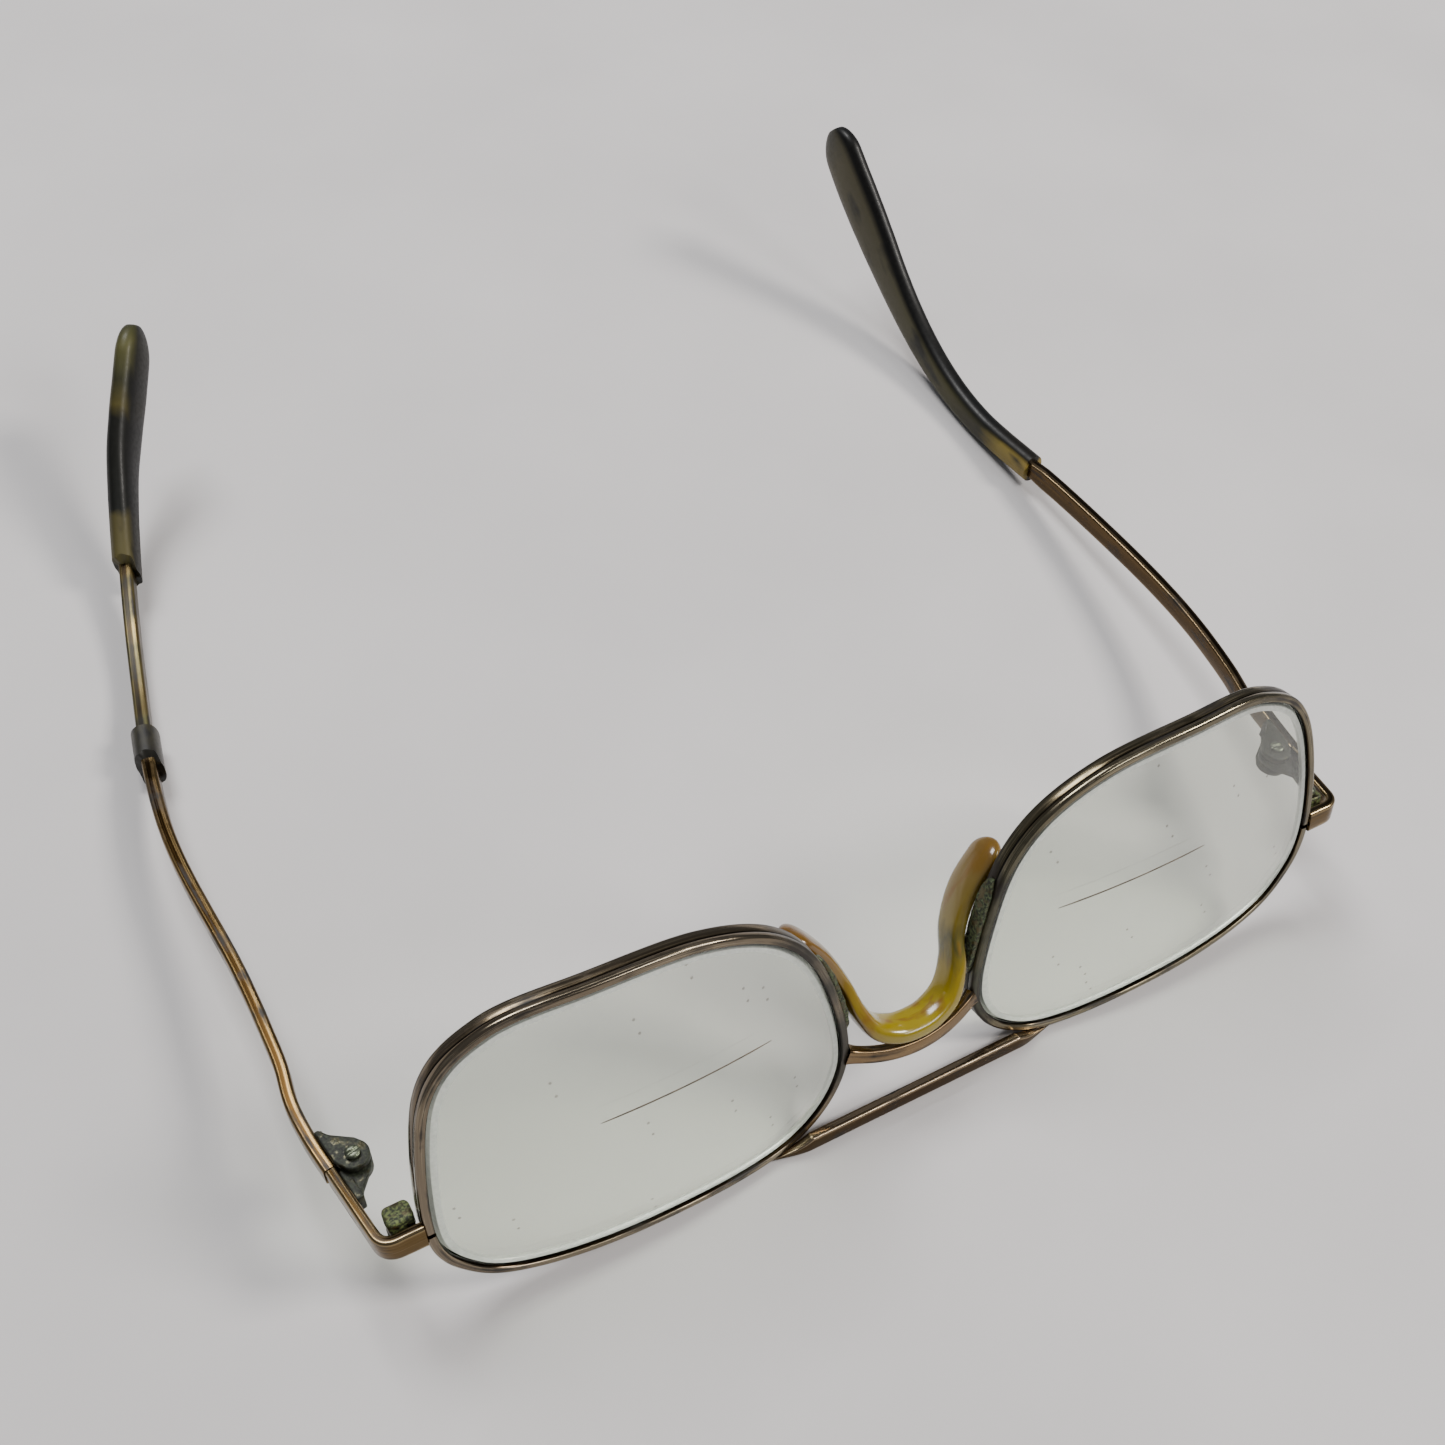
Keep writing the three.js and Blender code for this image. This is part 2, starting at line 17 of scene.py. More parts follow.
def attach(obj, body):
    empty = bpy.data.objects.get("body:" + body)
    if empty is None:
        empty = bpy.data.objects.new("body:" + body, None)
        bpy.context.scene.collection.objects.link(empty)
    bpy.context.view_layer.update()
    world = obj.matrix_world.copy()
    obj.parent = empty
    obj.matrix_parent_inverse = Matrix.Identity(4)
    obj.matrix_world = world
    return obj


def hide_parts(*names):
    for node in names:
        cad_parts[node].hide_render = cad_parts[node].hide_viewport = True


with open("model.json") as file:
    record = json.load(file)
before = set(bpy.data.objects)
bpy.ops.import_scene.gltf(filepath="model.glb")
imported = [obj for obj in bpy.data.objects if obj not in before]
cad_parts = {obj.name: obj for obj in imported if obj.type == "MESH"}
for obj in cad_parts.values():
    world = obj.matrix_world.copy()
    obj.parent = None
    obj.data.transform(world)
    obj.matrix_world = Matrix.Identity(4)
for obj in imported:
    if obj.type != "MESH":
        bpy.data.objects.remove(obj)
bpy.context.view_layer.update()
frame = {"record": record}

Array = np.ndarray
log = logging.getLogger("eyeglasses")

METRES = 0.001
JOINT_LAP = 0.38  # how far a soldered end runs on across the CAD clearance


class Side(Enum):
    """The two sides of the front, by the sign of their x."""

    LEFT = -1
    RIGHT = 1

    @property
    def word(self) -> str:
        """The side's word in node names."""
        return self.name.lower()

    @property
    def temple_body(self) -> str:
        """The body that swings on this side's hinge."""
        return self.word + "_temple"


# ---------------------------------------------------------------- points, paths and frames


def turn_about(axis: int, degrees: float) -> Array:
    """A turn about a coordinate axis by the right-hand rule.

    Args:
        axis: 0, 1 or 2 for x, y or z.
        degrees: the angle.

    Returns:
        A 3 by 3 matrix.
    """
    angle = np.radians(degrees)
    first, second = (axis + 1) % 3, (axis + 2) % 3
    turn = np.eye(3)
    turn[first, first] = turn[second, second] = np.cos(angle)
    turn[second, first] = np.sin(angle)
    turn[first, second] = -np.sin(angle)
    return turn


@dataclass(frozen=True)
class Placement:
    """A turn followed by a shift, in millimetres."""

    turn: Array
    shift: Array

    def place(self, points: Array) -> Array:
        """The points, turned and shifted."""
        return points @ self.turn.T + self.shift

    def after(self, inner: "Placement") -> "Placement":
        """The placement that does inner first and then this one."""
        return Placement(self.turn @ inner.turn, self.place(inner.shift))


def unit(vectors: Array) -> Array:
    """Vectors scaled to length one along their last axis."""
    return vectors / np.maximum(np.linalg.norm(vectors, axis=-1, keepdims=True), 1e-12)


def ease(values: Array, low: float, high: float) -> Array:
    """Smoothstep: 3t² - 2t³ with t running from 0 at low to 1 at high."""
    t = np.clip((np.asarray(values, float) - low) / (high - low), 0, 1)
    return t * t * (3 - 2 * t)


def cubic(stations: list[Array], t: Array) -> Array:
    """The cubic from the second to the third of four stations, with t from 0 to 1 between them.

    It is (2t³ - 3t² + 1) start + (t³ - 2t² + t) slope in + (3t² - 2t³) end + (t³ - t²) slope
    out, where each slope is half the step between the neighbours on either side.

    Args:
        stations: the values at the four stations.
        t: shares of the way.

    Returns:
        The values there.
    """
    before, start, end, after = stations
    slope_in, slope_out = (end - before) / 2, (after - start) / 2
    return (
        (2 * t**3 - 3 * t**2 + 1) * start
        + (t**3 - 2 * t**2 + t) * slope_in
        + (3 * t**2 - 2 * t**3) * end
        + (t**3 - t**2) * slope_out
    )


def spline(points: Array, closed: bool, per_span: int = 60) -> Array:
    """A Catmull-Rom curve: a cubic for each span, drawn from its ends and their neighbours.

    Args:
        points: the points it passes through.
        closed: whether it returns to its first point.
        per_span: samples in each span.

    Returns:
        The samples, with the first repeated at the end of a closed curve.
    """
    points = np.asarray(points, float)
    if closed:
        around = np.vstack([points[-1], points, points[0], points[1]])
    else:
        around = np.vstack([2 * points[0] - points[1], points, 2 * points[-1] - points[-2]])
    t = np.linspace(0, 1, per_span, endpoint=False)[None, :, None]
    spans = cubic([around[i : len(around) - 3 + i, None] for i in range(4)], t)
    return np.vstack([spans.reshape(-1, points.shape[1]), points[0] if closed else points[-1]])


def lengths_along(points: Array) -> Array:
    """The length of a line of points up to each of them."""
    steps = np.linalg.norm(np.diff(points, axis=0), axis=1)
    return np.concatenate([[0], np.cumsum(steps)])


def at_lengths(points: Array, lengths: Array) -> Array:
    """The places on a line of points at the given lengths along it."""
    along = lengths_along(points)
    return np.stack([np.interp(lengths, along, column) for column in points.T], axis=1)


@dataclass
class Rail:
    """A middle line with the two directions that a section is drawn in at each of its points."""

    middle: Array
    upright: Array
    along: Array = field(init=False)
    across: Array = field(init=False)
    up: Array = field(init=False)

    def __post_init__(self) -> None:
        """Works out the frames: across is square to the line and upright, up to both."""
        self.along = unit(np.gradient(self.middle, axis=0))
        self.across = unit(np.cross(self.along, self.upright))
        self.up = np.cross(self.across, self.along)

    def carry(self, sections: Array) -> Array:
        """A section carried along the line.

        Args:
            sections: one closed outline for all points, or one each, as [across, up] pairs.

        Returns:
            Rings of points, one per point of the line.
        """
        sections = np.broadcast_to(sections, (len(self.middle),) + sections.shape[-2:])
        return (
            self.middle[:, None]
            + sections[..., :1] * self.across[:, None]
            + sections[..., 1:] * self.up[:, None]
        )


def rounded(width: float, height: float, radius: float, arc_points: int = 5) -> Array:
    """A rectangle about the origin with quarter-circle corners.

    Args:
        width: its size in x.
        height: its size in y.
        radius: the corners' radius.
        arc_points: points on each corner.

    Returns:
        The outline, counterclockwise.
    """
    angles = np.linspace(0, np.pi / 2, arc_points)
    quarter = radius * np.stack([np.cos(angles), np.sin(angles)], axis=1)
    corners = []
    for i, (x, y) in enumerate([(1, 1), (-1, 1), (-1, -1), (1, -1)]):
        turned = quarter @ turn_about(2, 90 * i)[:2, :2].T
        corners.append(turned + [x * (width / 2 - radius), y * (height / 2 - radius)])
    return np.vstack(corners)


def superoval(width: float, height: float, power: float, count: int = 40) -> Array:
    """The outline |x / half width|^power + |y / half height|^power = 1.

    Args:
        width: its size in x.
        height: its size in y.
        power: 2 for an oval, more for a squarer one.
        count: points round it.

    Returns:
        The outline, counterclockwise.
    """
    angles = np.linspace(0, 2 * np.pi, count, endpoint=False)
    cos, sin = np.cos(angles), np.sin(angles)
    x = np.sign(cos) * np.abs(cos) ** (2 / power) * width / 2
    y = np.sign(sin) * np.abs(sin) ** (2 / power) * height / 2
    return np.stack([x, y], axis=1)


# ---------------------------------------------------------------- meshes and pieces


def faces_between(rings: int, columns: int) -> Array:
    """The quads between neighbouring rings of a tube.

    Args:
        rings: how many rings it has.
        columns: points in each ring.

    Returns:
        Four vertex numbers for each quad.
    """
    ring, column = np.meshgrid(np.arange(rings - 1), np.arange(columns), indexing="ij")
    after = (column + 1) % columns
    quads = [ring * columns + column, ring * columns + after, (ring + 1) * columns + after]
    quads.append((ring + 1) * columns + column)
    return np.stack(quads, axis=-1).reshape(-1, 4)


def volume_of(points: Array, triangles: Array) -> float:
    """The enclosed volume: a sixth of the sum of every triangle's a · (b × c)."""
    a, b, c = (points[triangles[:, i]] for i in range(3))
    return float(np.einsum("ij,ij->i", a, np.cross(b, c)).sum() / 6)


def skin(name: str, rings: Array, crease: float = 35.0) -> bpy.types.Object:
    """A closed tube through rings of points, shut at both ends by fans.

    Its UV map "skin" holds millimetres along the tube and millimetres round it, and its UV map
    "shares" the same as shares of the whole length and of the whole way round.

    Args:
        name: the piece's name.
        rings: an array of rings, columns and coordinates, in millimetres.
        crease: the angle in degrees above which an edge stays sharp.

    Returns:
        The mesh object, at the origin.
    """
    count, columns = rings.shape[:2]
    centres = np.stack([rings[0].mean(axis=0), rings[-1].mean(axis=0)])
    points = np.vstack([rings.reshape(-1, 3), centres])
    quads = faces_between(count, columns)
    column = np.arange(columns)
    after = (column + 1) % columns
    first = np.stack([np.full(columns, len(points) - 2), after, column], axis=1)
    base = (count - 1) * columns
    last = np.stack([np.full(columns, len(points) - 1), base + column, base + after], axis=1)
    triangles = np.vstack([quads[:, :3], quads[:, [0, 2, 3]], first, last])
    flip = volume_of(points - points.mean(axis=0), triangles) < 0

    along = lengths_along(rings.mean(axis=1))
    girth = lengths_along(np.vstack([rings[count // 2], rings[count // 2][:1]]))
    u = np.repeat(along[:-1, None], columns, axis=1).ravel()
    u_next = np.repeat(along[1:, None], columns, axis=1).ravel()
    v = np.tile(girth[:-1], count - 1)
    v_next = np.tile(girth[1:], count - 1)
    quad_uv = np.stack([[u, v], [u, v_next], [u_next, v_next], [u_next, v]]).transpose(2, 0, 1)
    fan_uv = [
        np.stack([[np.full(columns, end)] * 3, [girth[:-1]] * 3]).transpose(2, 1, 0)
        for end in along[[0, -1]]
    ]
    faces = [quads, first, last]
    uvs = [quad_uv, *fan_uv]
    if flip:
        faces = [part[:, ::-1] for part in faces]
        uvs = [part[:, ::-1] for part in uvs]

    mesh = bpy.data.meshes.new(name)
    rows = [row for part in faces for row in part.tolist()]
    mesh.from_pydata((points * METRES).tolist(), [], rows)
    flat = np.concatenate([part.reshape(-1, 2) for part in uvs])
    mesh.uv_layers.new(name="skin").uv.foreach_set("vector", flat.ravel())
    whole = np.array([along[-1], girth[-1]])
    mesh.uv_layers.new(name="shares").uv.foreach_set("vector", (flat / whole).ravel())
    mesh.shade_smooth()
    mesh.set_sharp_from_angle(angle=np.radians(crease))
    mesh.update()
    piece = bpy.data.objects.new(name, mesh)
    bpy.context.scene.collection.objects.link(piece)
    return piece


def lathe(radii: Array, heights: Array, count: int = 48) -> Array:
    """A profile turned about z: each ring is radius (cos, sin) at its height.

    Args:
        radii: the profile's radii.
        heights: its heights.
        count: points round each ring.

    Returns:
        The rings, in the profile's order.
    """
    angles = np.linspace(0, 2 * np.pi, count, endpoint=False)
    circle = np.stack([np.cos(angles), np.sin(angles), np.zeros(count)], axis=1)
    lift = np.array([0, 0, 1.0])
    return np.asarray(radii)[:, None, None] * circle + np.asarray(heights)[:, None, None] * lift


def plate(outline: Array, low: float, high: float, edge: float) -> Array:
    """A flat plate as rings: its outline drawn in by the edge's radius at both faces.

    Args:
        outline: the plan as [x, y] pairs, counterclockwise.
        low: height of its lower face.
        high: height of its upper face.
        edge: radius of the worn edges.

    Returns:
        Rings from the lower face to the upper one.
    """
    ahead = unit(np.roll(outline, -1, axis=0) - np.roll(outline, 1, axis=0))
    inward = np.stack([-ahead[:, 1], ahead[:, 0]], axis=1)
    angles = np.linspace(0, np.pi / 2, 4)
    inset = edge * (1 - np.sin(angles))
    rise = edge * (1 - np.cos(angles))
    insets = np.concatenate([inset, inset[::-1]])
    heights = np.concatenate([low + rise, high - rise[::-1]])
    flat = outline + insets[:, None, None] * inward
    level = np.broadcast_to(heights[:, None, None], flat.shape[:2] + (1,))
    return np.concatenate([flat, level], axis=2)


def grain(points: Array, size: float, seed: int) -> Array:
    """Smooth repeatable unevenness: the mean of eight sine waves in random directions.

    Args:
        points: where it is wanted.
        size: about how long a wave is, in millimetres.
        seed: which unevenness.

    Returns:
        Values that mostly lie from -1 to 1.
    """
    count, gain = 8, 1.6  # the mean of so many waves seldom passes 1 / gain
    rng = np.random.default_rng(seed)
    waves = unit(rng.normal(size=(count, 3))) * rng.uniform(0.6, 1.7, (count, 1)) * 2 * np.pi / size
    return np.sin(points @ waves.T + rng.uniform(0, 2 * np.pi, count)).mean(axis=-1) * gain


def install(
    piece: bpy.types.Object,
    material: bpy.types.Material,
    body: str,
    replaced: str | None = None,
) -> bpy.types.Object:
    """Dresses a piece, makes it ride on its body, hides the CAD node that it replaces and logs it.

    Args:
        piece: the mesh object.
        material: its finish.
        body: the CAD body that it rides on.
        replaced: the CAD node that it replaces, if any.

    Returns:
        The piece.
    """
    piece.data.materials.append(material)
    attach(piece, body)
    if replaced:
        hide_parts(replaced)
    log.info("%s: %d faces on %s", piece.name, len(piece.data.polygons), body)
    return piece


# ---------------------------------------------------------------- finishes


CLEAN = "#ffffff"  # a shade that leaves a finish as it is
UNSTAINED = "#000000"
EVEN = ((0.0, CLEAN), (1.0, CLEAN))
FACTOR, FIRST, SECOND = 0, 6, 7  # inputs of a Mix node that mixes colours


def linear(code: str) -> tuple[float, float, float, float]:
    """A colour as linear light: c / 12.92 up to 0.04045, and ((c + 0.055) / 1.055)^2.4 above.

    Args:
        code: the sRGB colour, as a hash sign and six hex digits.

    Returns:
        Its red, green, blue and full alpha.
    """
    parts = np.array([int(code[i : i + 2], 16) for i in (1, 3, 5)]) / 255
    light = np.where(parts <= 0.04045, parts / 12.92, ((parts + 0.055) / 1.055) ** 2.4)
    return (*(float(value) for value in light), 1.0)


def add(
    tree: bpy.types.NodeTree,
    kind: str,
    inputs: dict | None = None,
    stops: tuple = (),
    **settings: object,
) -> bpy.types.Node:
    """Adds a node with its settings and links.

    Args:
        tree: the node tree.
        kind: the node's type, less the word ShaderNode.
        inputs: by name or number, a value, a hex colour, or the node or output that feeds it.
            A node stands for its first output in use.
        stops: a colour ramp's (position, hex colour) pairs, in order.
        settings: properties of the node.

    Returns:
        The node.
    """
    node = tree.nodes.new("ShaderNode" + kind)
    for name, value in settings.items():
        setattr(node, name, value)
    for key, value in (inputs or {}).items():
        if isinstance(value, bpy.types.Node):
            value = next(output for output in value.outputs if output.enabled)
        if isinstance(value, bpy.types.NodeSocket):
            tree.links.new(value, node.inputs[key])
        else:
            node.inputs[key].default_value = linear(value) if isinstance(value, str) else value
    if stops:
        marks = node.color_ramp.elements
        while len(marks) < len(stops):
            marks.new(0.5)
        for mark, (position, code) in zip(marks, stops):
            mark.position = position
            mark.color = linear(code)
    return node


def new_material(name: str) -> tuple[bpy.types.Material, bpy.types.NodeTree]:
    """Makes an empty node material.

    Args:
        name: its name.

    Returns:
        The material and its tree.
    """
    material = bpy.data.materials.new(name)
    material.use_nodes = True
    material.node_tree.nodes.clear()
    return material, material.node_tree


def shares(tree: bpy.types.NodeTree) -> tuple[bpy.types.NodeSocket, bpy.types.NodeSocket]:
    """Reads where a spot is on its piece from the shares map.

    Args:
        tree: the node tree.

    Returns:
        The share of the piece's length and the share of the way round it.
    """
    uv = add(tree, "UVMap", uv_map="shares")
    parts = add(tree, "SeparateXYZ", {"Vector": uv})
    return parts.outputs["X"], parts.outputs["Y"]


def along_and_round(tree: bpy.types.NodeTree, along: float, around: float) -> bpy.types.Node:
    """Reads the skin map in pattern lengths.

    Args:
        tree: the node tree.
        along: the pattern's length along the piece, in millimetres.
        around: its width round the piece, in millimetres.

    Returns:
        The node that gives the place in the pattern.
    """
    uv = add(tree, "UVMap", uv_map="skin")
    scale = (1 / along, 1 / around, 1)
    return add(tree, "Mapping", {"Vector": uv, "Scale": scale}, vector_type="POINT")


def in_place(tree: bpy.types.NodeTree, size: float) -> bpy.types.Node:
    """Reads Object coordinates in pattern lengths.

    Args:
        tree: the node tree.
        size: the pattern's length, in millimetres.

    Returns:
        The node that gives the place in the pattern.
    """
    place = add(tree, "TexCoord").outputs["Object"]
    scale = 1 / (size * METRES)
    return add(tree, "Mapping", {"Vector": place, "Scale": (scale, scale, scale)})


def shadow_clear(tree: bpy.types.NodeTree, shader: bpy.types.Node, shade: str) -> bpy.types.Node:
    """A shader that lets lamplight through to the floor behind it.

    Args:
        tree: the node tree.
        shader: how the surface looks.
        shade: the colour that its shadow keeps.

    Returns:
        The mix of the shader with a transparent one for shadow rays.
    """
    clear = add(tree, "BsdfTransparent", {"Color": shade})
    shadow_ray = add(tree, "LightPath").outputs["Is Shadow Ray"]
    return add(tree, "MixShader", {0: shadow_ray, 1: shader, 2: clear})


@dataclass(frozen=True)
class AgedGold:
    """Rolled gold on nickel silver, drawn into wire and strip, then worn for decades.

    Drawing leaves fine lines along the length. Sweat dulls the gold to a rosy brown and leaves
    dark tarnish in patches and streaks, so it shines only in lines.
    """

    name: str
    gold: str = "#8f7a64"
    worn: str = "#b3a283"
    tarnish: str = "#2c2721"
    tarnished_from: float = 0.52  # pattern value where tarnish begins: less is more of it
    tarnish_size: float = 5.0  # millimetres, as are the next five
    streak_length: float = 20.0
    streak_width: float = 0.6
    line_length: float = 14.0
    line_width: float = 0.12  # drawing lines are finer: this is what shows
    line_relief: float = 0.03
    roughness: float = 0.2
    bands: tuple = EVEN  # painted shade round the section, by share of it
    stained: tuple = ((0.0, UNSTAINED), (1.0, UNSTAINED))  # how green, by share of the length
    stain: str = "#3f4226"

    def material(self) -> bpy.types.Material:
        """Builds drawn lines, tarnish over them, then the green stain and the painted shade round the
        section.

        Returns:
            The material.
        """
        made, tree = new_material(self.name)
        drawn = along_and_round(tree, self.line_length, self.line_width)
        streaked = along_and_round(tree, self.streak_length, self.streak_width)
        patched = in_place(tree, self.tarnish_size)
        lines = add(tree, "TexNoise", {"Vector": drawn, "Scale": 1.0, "Detail": 3.0})
        streaks = add(tree, "TexNoise", {"Vector": streaked, "Scale": 1.0, "Detail": 4.0})
        patches = add(tree, "TexNoise", {"Vector": patched, "Scale": 1.0, "Detail": 5.0})
        both = add(tree, "Math", {0: streaks, 1: patches}, operation="ADD")
        start = self.tarnished_from * 2
        spread = {"From Min": start - 0.04, "From Max": start + 0.16}
        tarnished = add(tree, "MapRange", {"Value": both, **spread})
        wear = ((0.3, self.gold), (0.52, self.gold), (0.75, self.worn))
        base = add(tree, "ValToRGB", {"Fac": lines}, wear)

        share, turn = shares(tree)
        there = add(tree, "ValToRGB", {"Fac": share}, self.stained)
        reach = add(tree, "Math", {0: there, 1: patches}, operation="ADD")
        spread = {"From Min": 0.95, "From Max": 1.45, "To Max": 0.9}
        green = add(tree, "MapRange", {"Value": reach, **spread})
        # painted shade: the bands darken the section by the share of the way round it
        painted_shade = add(tree, "ValToRGB", {"Fac": turn}, self.bands)
        base = add(tree, "Mix", {FACTOR: green, FIRST: base, SECOND: self.stain}, data_type="RGBA")
        layers = {FACTOR: tarnished, FIRST: base, SECOND: self.tarnish}
        colour = add(tree, "Mix", layers, data_type="RGBA")
        layers = {FACTOR: 1.0, FIRST: colour, SECOND: painted_shade}
        colour = add(tree, "Mix", layers, data_type="RGBA", blend_type="MULTIPLY")

        spread = {"From Min": 0.3, "From Max": 0.7, "To Min": -0.07, "To Max": 0.08}
        fine = add(tree, "MapRange", {"Value": lines, **spread})
        covered = add(tree, "Math", {0: tarnished, 1: green}, operation="MAXIMUM")
        dull = add(tree, "MapRange", {"Value": covered, "To Max": 0.24})
        rough = add(tree, "Math", {0: fine, 1: dull}, operation="ADD")
        rough = add(tree, "Math", {0: rough, 1: self.roughness}, operation="ADD")
        metal = add(tree, "MapRange", {"Value": covered, "To Min": 1.0, "To Max": 0.5})
        relief = {"Height": lines, "Strength": 0.22, "Distance": self.line_relief * METRES}
        looks = {
            "Base Color": colour,
            "Metallic": metal,
            "Roughness": rough,
            "Normal": add(tree, "Bump", relief),
        }
        add(tree, "OutputMaterial", {"Surface": add(tree, "BsdfPrincipled", looks)})
        return made


@dataclass(frozen=True)
class Verdigris:
    """Nickel silver hinge and lock stock under a crust of green-brown copper salts.

    Handling keeps the high spots bright; the crust is matt, lumpy and darkest in corners.
    """

    name: str
    metal: str = "#57523f"
    crust: str = "#1f2118"
    salts: str = "#586443"
    crusted_from: float = 0.44  # pattern value where the crust begins
    grain_size: float = 0.9  # millimetres between lumps of crust
    speck_share: float = 0.35  # size of its specks against its lumps
    relief: float = 0.1  # millimetres

    def material(self) -> bpy.types.Material:
        """Builds metal and crust, mixed where lumps reach a height.

        Returns:
            The material.
        """
        made, tree = new_material(self.name)
        lumpy = in_place(tree, self.grain_size)
        speckled = in_place(tree, self.grain_size * self.speck_share)
        lumps = add(tree, "TexNoise", {"Vector": lumpy, "Detail": 6.0, "Scale": 1.0})
        specks = add(tree, "TexNoise", {"Vector": speckled, "Detail": 3.0, "Scale": 1.0})
        spread = {"From Min": self.crusted_from - 0.05, "From Max": self.crusted_from + 0.07}
        mask = add(tree, "MapRange", {"Value": lumps, **spread})
        crust = add(tree, "ValToRGB", {"Fac": specks}, ((0.42, self.crust), (0.62, self.salts)))
        layers = {FACTOR: mask, FIRST: self.metal, SECOND: crust}
        relief = {"Height": specks, "Strength": 0.35, "Distance": self.relief * METRES}
        looks = {
            "Base Color": add(tree, "Mix", layers, data_type="RGBA"),
            "Metallic": add(tree, "MapRange", {"Value": mask, "To Min": 1.0, "To Max": 0.25}),
            "Roughness": add(tree, "MapRange", {"Value": mask, "To Min": 0.3, "To Max": 0.62}),
            "Normal": add(tree, "Bump", relief),
        }
        add(tree, "OutputMaterial", {"Surface": add(tree, "BsdfPrincipled", looks)})
        return made


@dataclass(frozen=True)
class Acetate:
    """Cellulose acetate, moulded and tumbled smooth: a glossy translucent plastic whose colour
    is in its depth. Colours run along the piece in soft mottles; skin oil has yellowed it."""

    name: str
    stops: tuple  # colours by share of the length
    mottle: str
    mottle_size: float = 6.0  # millimetres along the piece
    mottled_from: float = 0.5  # pattern value where mottles begin
    glow: float = 0.35
    roughness: float = 0.22
    bands: tuple = EVEN  # shade round the section, by share of it
    coat: float = 0.5
    shine: float = 0.5
    scuffing: float = 0.12
    scuff_size: float = 0.6
    scuff_relief: float = 0.05
    drift: float = 0.035  # how far the mottles push the colours along, as a share

    def material(self) -> bpy.types.Material:
        """Builds colour by share of the length, with mottles over it and scuffs in its gloss.

        Returns:
            The material.
        """
        made, tree = new_material(self.name)
        share, turn = shares(tree)
        mottled = along_and_round(tree, self.mottle_size, self.mottle_size / 2.5)
        cloud = add(tree, "TexNoise", {"Vector": mottled, "Scale": 1.0, "Detail": 3.0})
        spread = {"From Min": 0.3, "From Max": 0.7, "To Min": -self.drift, "To Max": self.drift}
        drift = add(tree, "MapRange", {"Value": cloud, **spread})
        place = add(tree, "Math", {0: share, 1: drift}, operation="ADD")
        base = add(tree, "ValToRGB", {"Fac": place}, self.stops)
        spread = {"From Min": self.mottled_from, "From Max": self.mottled_from + 0.12}
        mask = add(tree, "MapRange", {"Value": cloud, **spread})
        layers = {FACTOR: mask, FIRST: base, SECOND: self.mottle}
        colour = add(tree, "Mix", layers, data_type="RGBA")
        shade = add(tree, "ValToRGB", {"Fac": turn}, self.bands)
        layers = {FACTOR: 1.0, FIRST: colour, SECOND: shade}
        colour = add(tree, "Mix", layers, data_type="RGBA", blend_type="MULTIPLY")

        scuffed = in_place(tree, self.scuff_size)
        scuff = add(tree, "TexNoise", {"Vector": scuffed, "Scale": 1.0, "Detail": 5.0})
        spread = {"From Min": 0.4, "From Max": 0.7}
        gloss = {"To Min": self.roughness, "To Max": self.roughness + 0.1}
        relief = {"Strength": self.scuffing, "Distance": self.scuff_relief * METRES}
        looks = {
            "Base Color": colour,
            "Roughness": add(tree, "MapRange", {"Value": scuff, **spread, **gloss}),
            "IOR": 1.48,
            "Specular IOR Level": self.shine,
            "Subsurface Weight": self.glow,
            "Subsurface Radius": (0.0012, 0.001, 0.0003),
            "Subsurface Scale": 1.0,
            "Coat Weight": self.coat,
            "Coat Roughness": 0.12,
            "Normal": add(tree, "Bump", {"Height": scuff, **relief}),
        }
        add(tree, "OutputMaterial", {"Surface": add(tree, "BsdfPrincipled", looks)})
        return made


@dataclass(frozen=True)
class LensGlass:
    """Crown glass, ground and polished, a little green in its depth, with hairline scuffs and
    a few specks of dust."""

    name: str = "crown_glass_polished"
    tint: str = "#e0e4da"
    shade: str = "#d9ddd6"
    dust: str = "#6d675a"
    scuff_size: float = 1.3
    speck_spacing: float = 11.0  # millimetres

    def material(self) -> bpy.types.Material:
        """Builds clear glass that lets lamplight through, tinted.

        Returns:
            The material.
        """
        made, tree = new_material(self.name)
        scuffed = {"Vector": in_place(tree, self.scuff_size), "Detail": 8.0, "Roughness": 0.75}
        scuff = add(tree, "TexNoise", {"Scale": 1.0, **scuffed})
        spread = {"From Min": 0.62, "From Max": 0.8, "To Min": 0.0, "To Max": 0.1}
        rough = add(tree, "MapRange", {"Value": scuff, **spread})
        place = add(tree, "SeparateXYZ", {"Vector": in_place(tree, self.speck_spacing)})
        flat = add(tree, "CombineXYZ", {"X": place.outputs["X"], "Y": place.outputs["Z"]})
        near = add(tree, "TexVoronoi", {"Vector": flat, "Scale": 1.0}, voronoi_dimensions="2D")
        spread = {"From Min": 0.011, "From Max": 0.021, "To Min": 0.85, "To Max": 0.0}
        speck = add(tree, "MapRange", {"Value": near, **spread})
        layers = {FACTOR: speck, FIRST: self.tint, SECOND: self.dust}
        looks = {
            "Base Color": add(tree, "Mix", layers, data_type="RGBA"),
            "Roughness": rough,
            "IOR": 1.52,
            "Transmission Weight": 1.0,
        }
        glass = add(tree, "BsdfPrincipled", looks)
        add(tree, "OutputMaterial", {"Surface": shadow_clear(tree, glass, self.shade)})
        return made


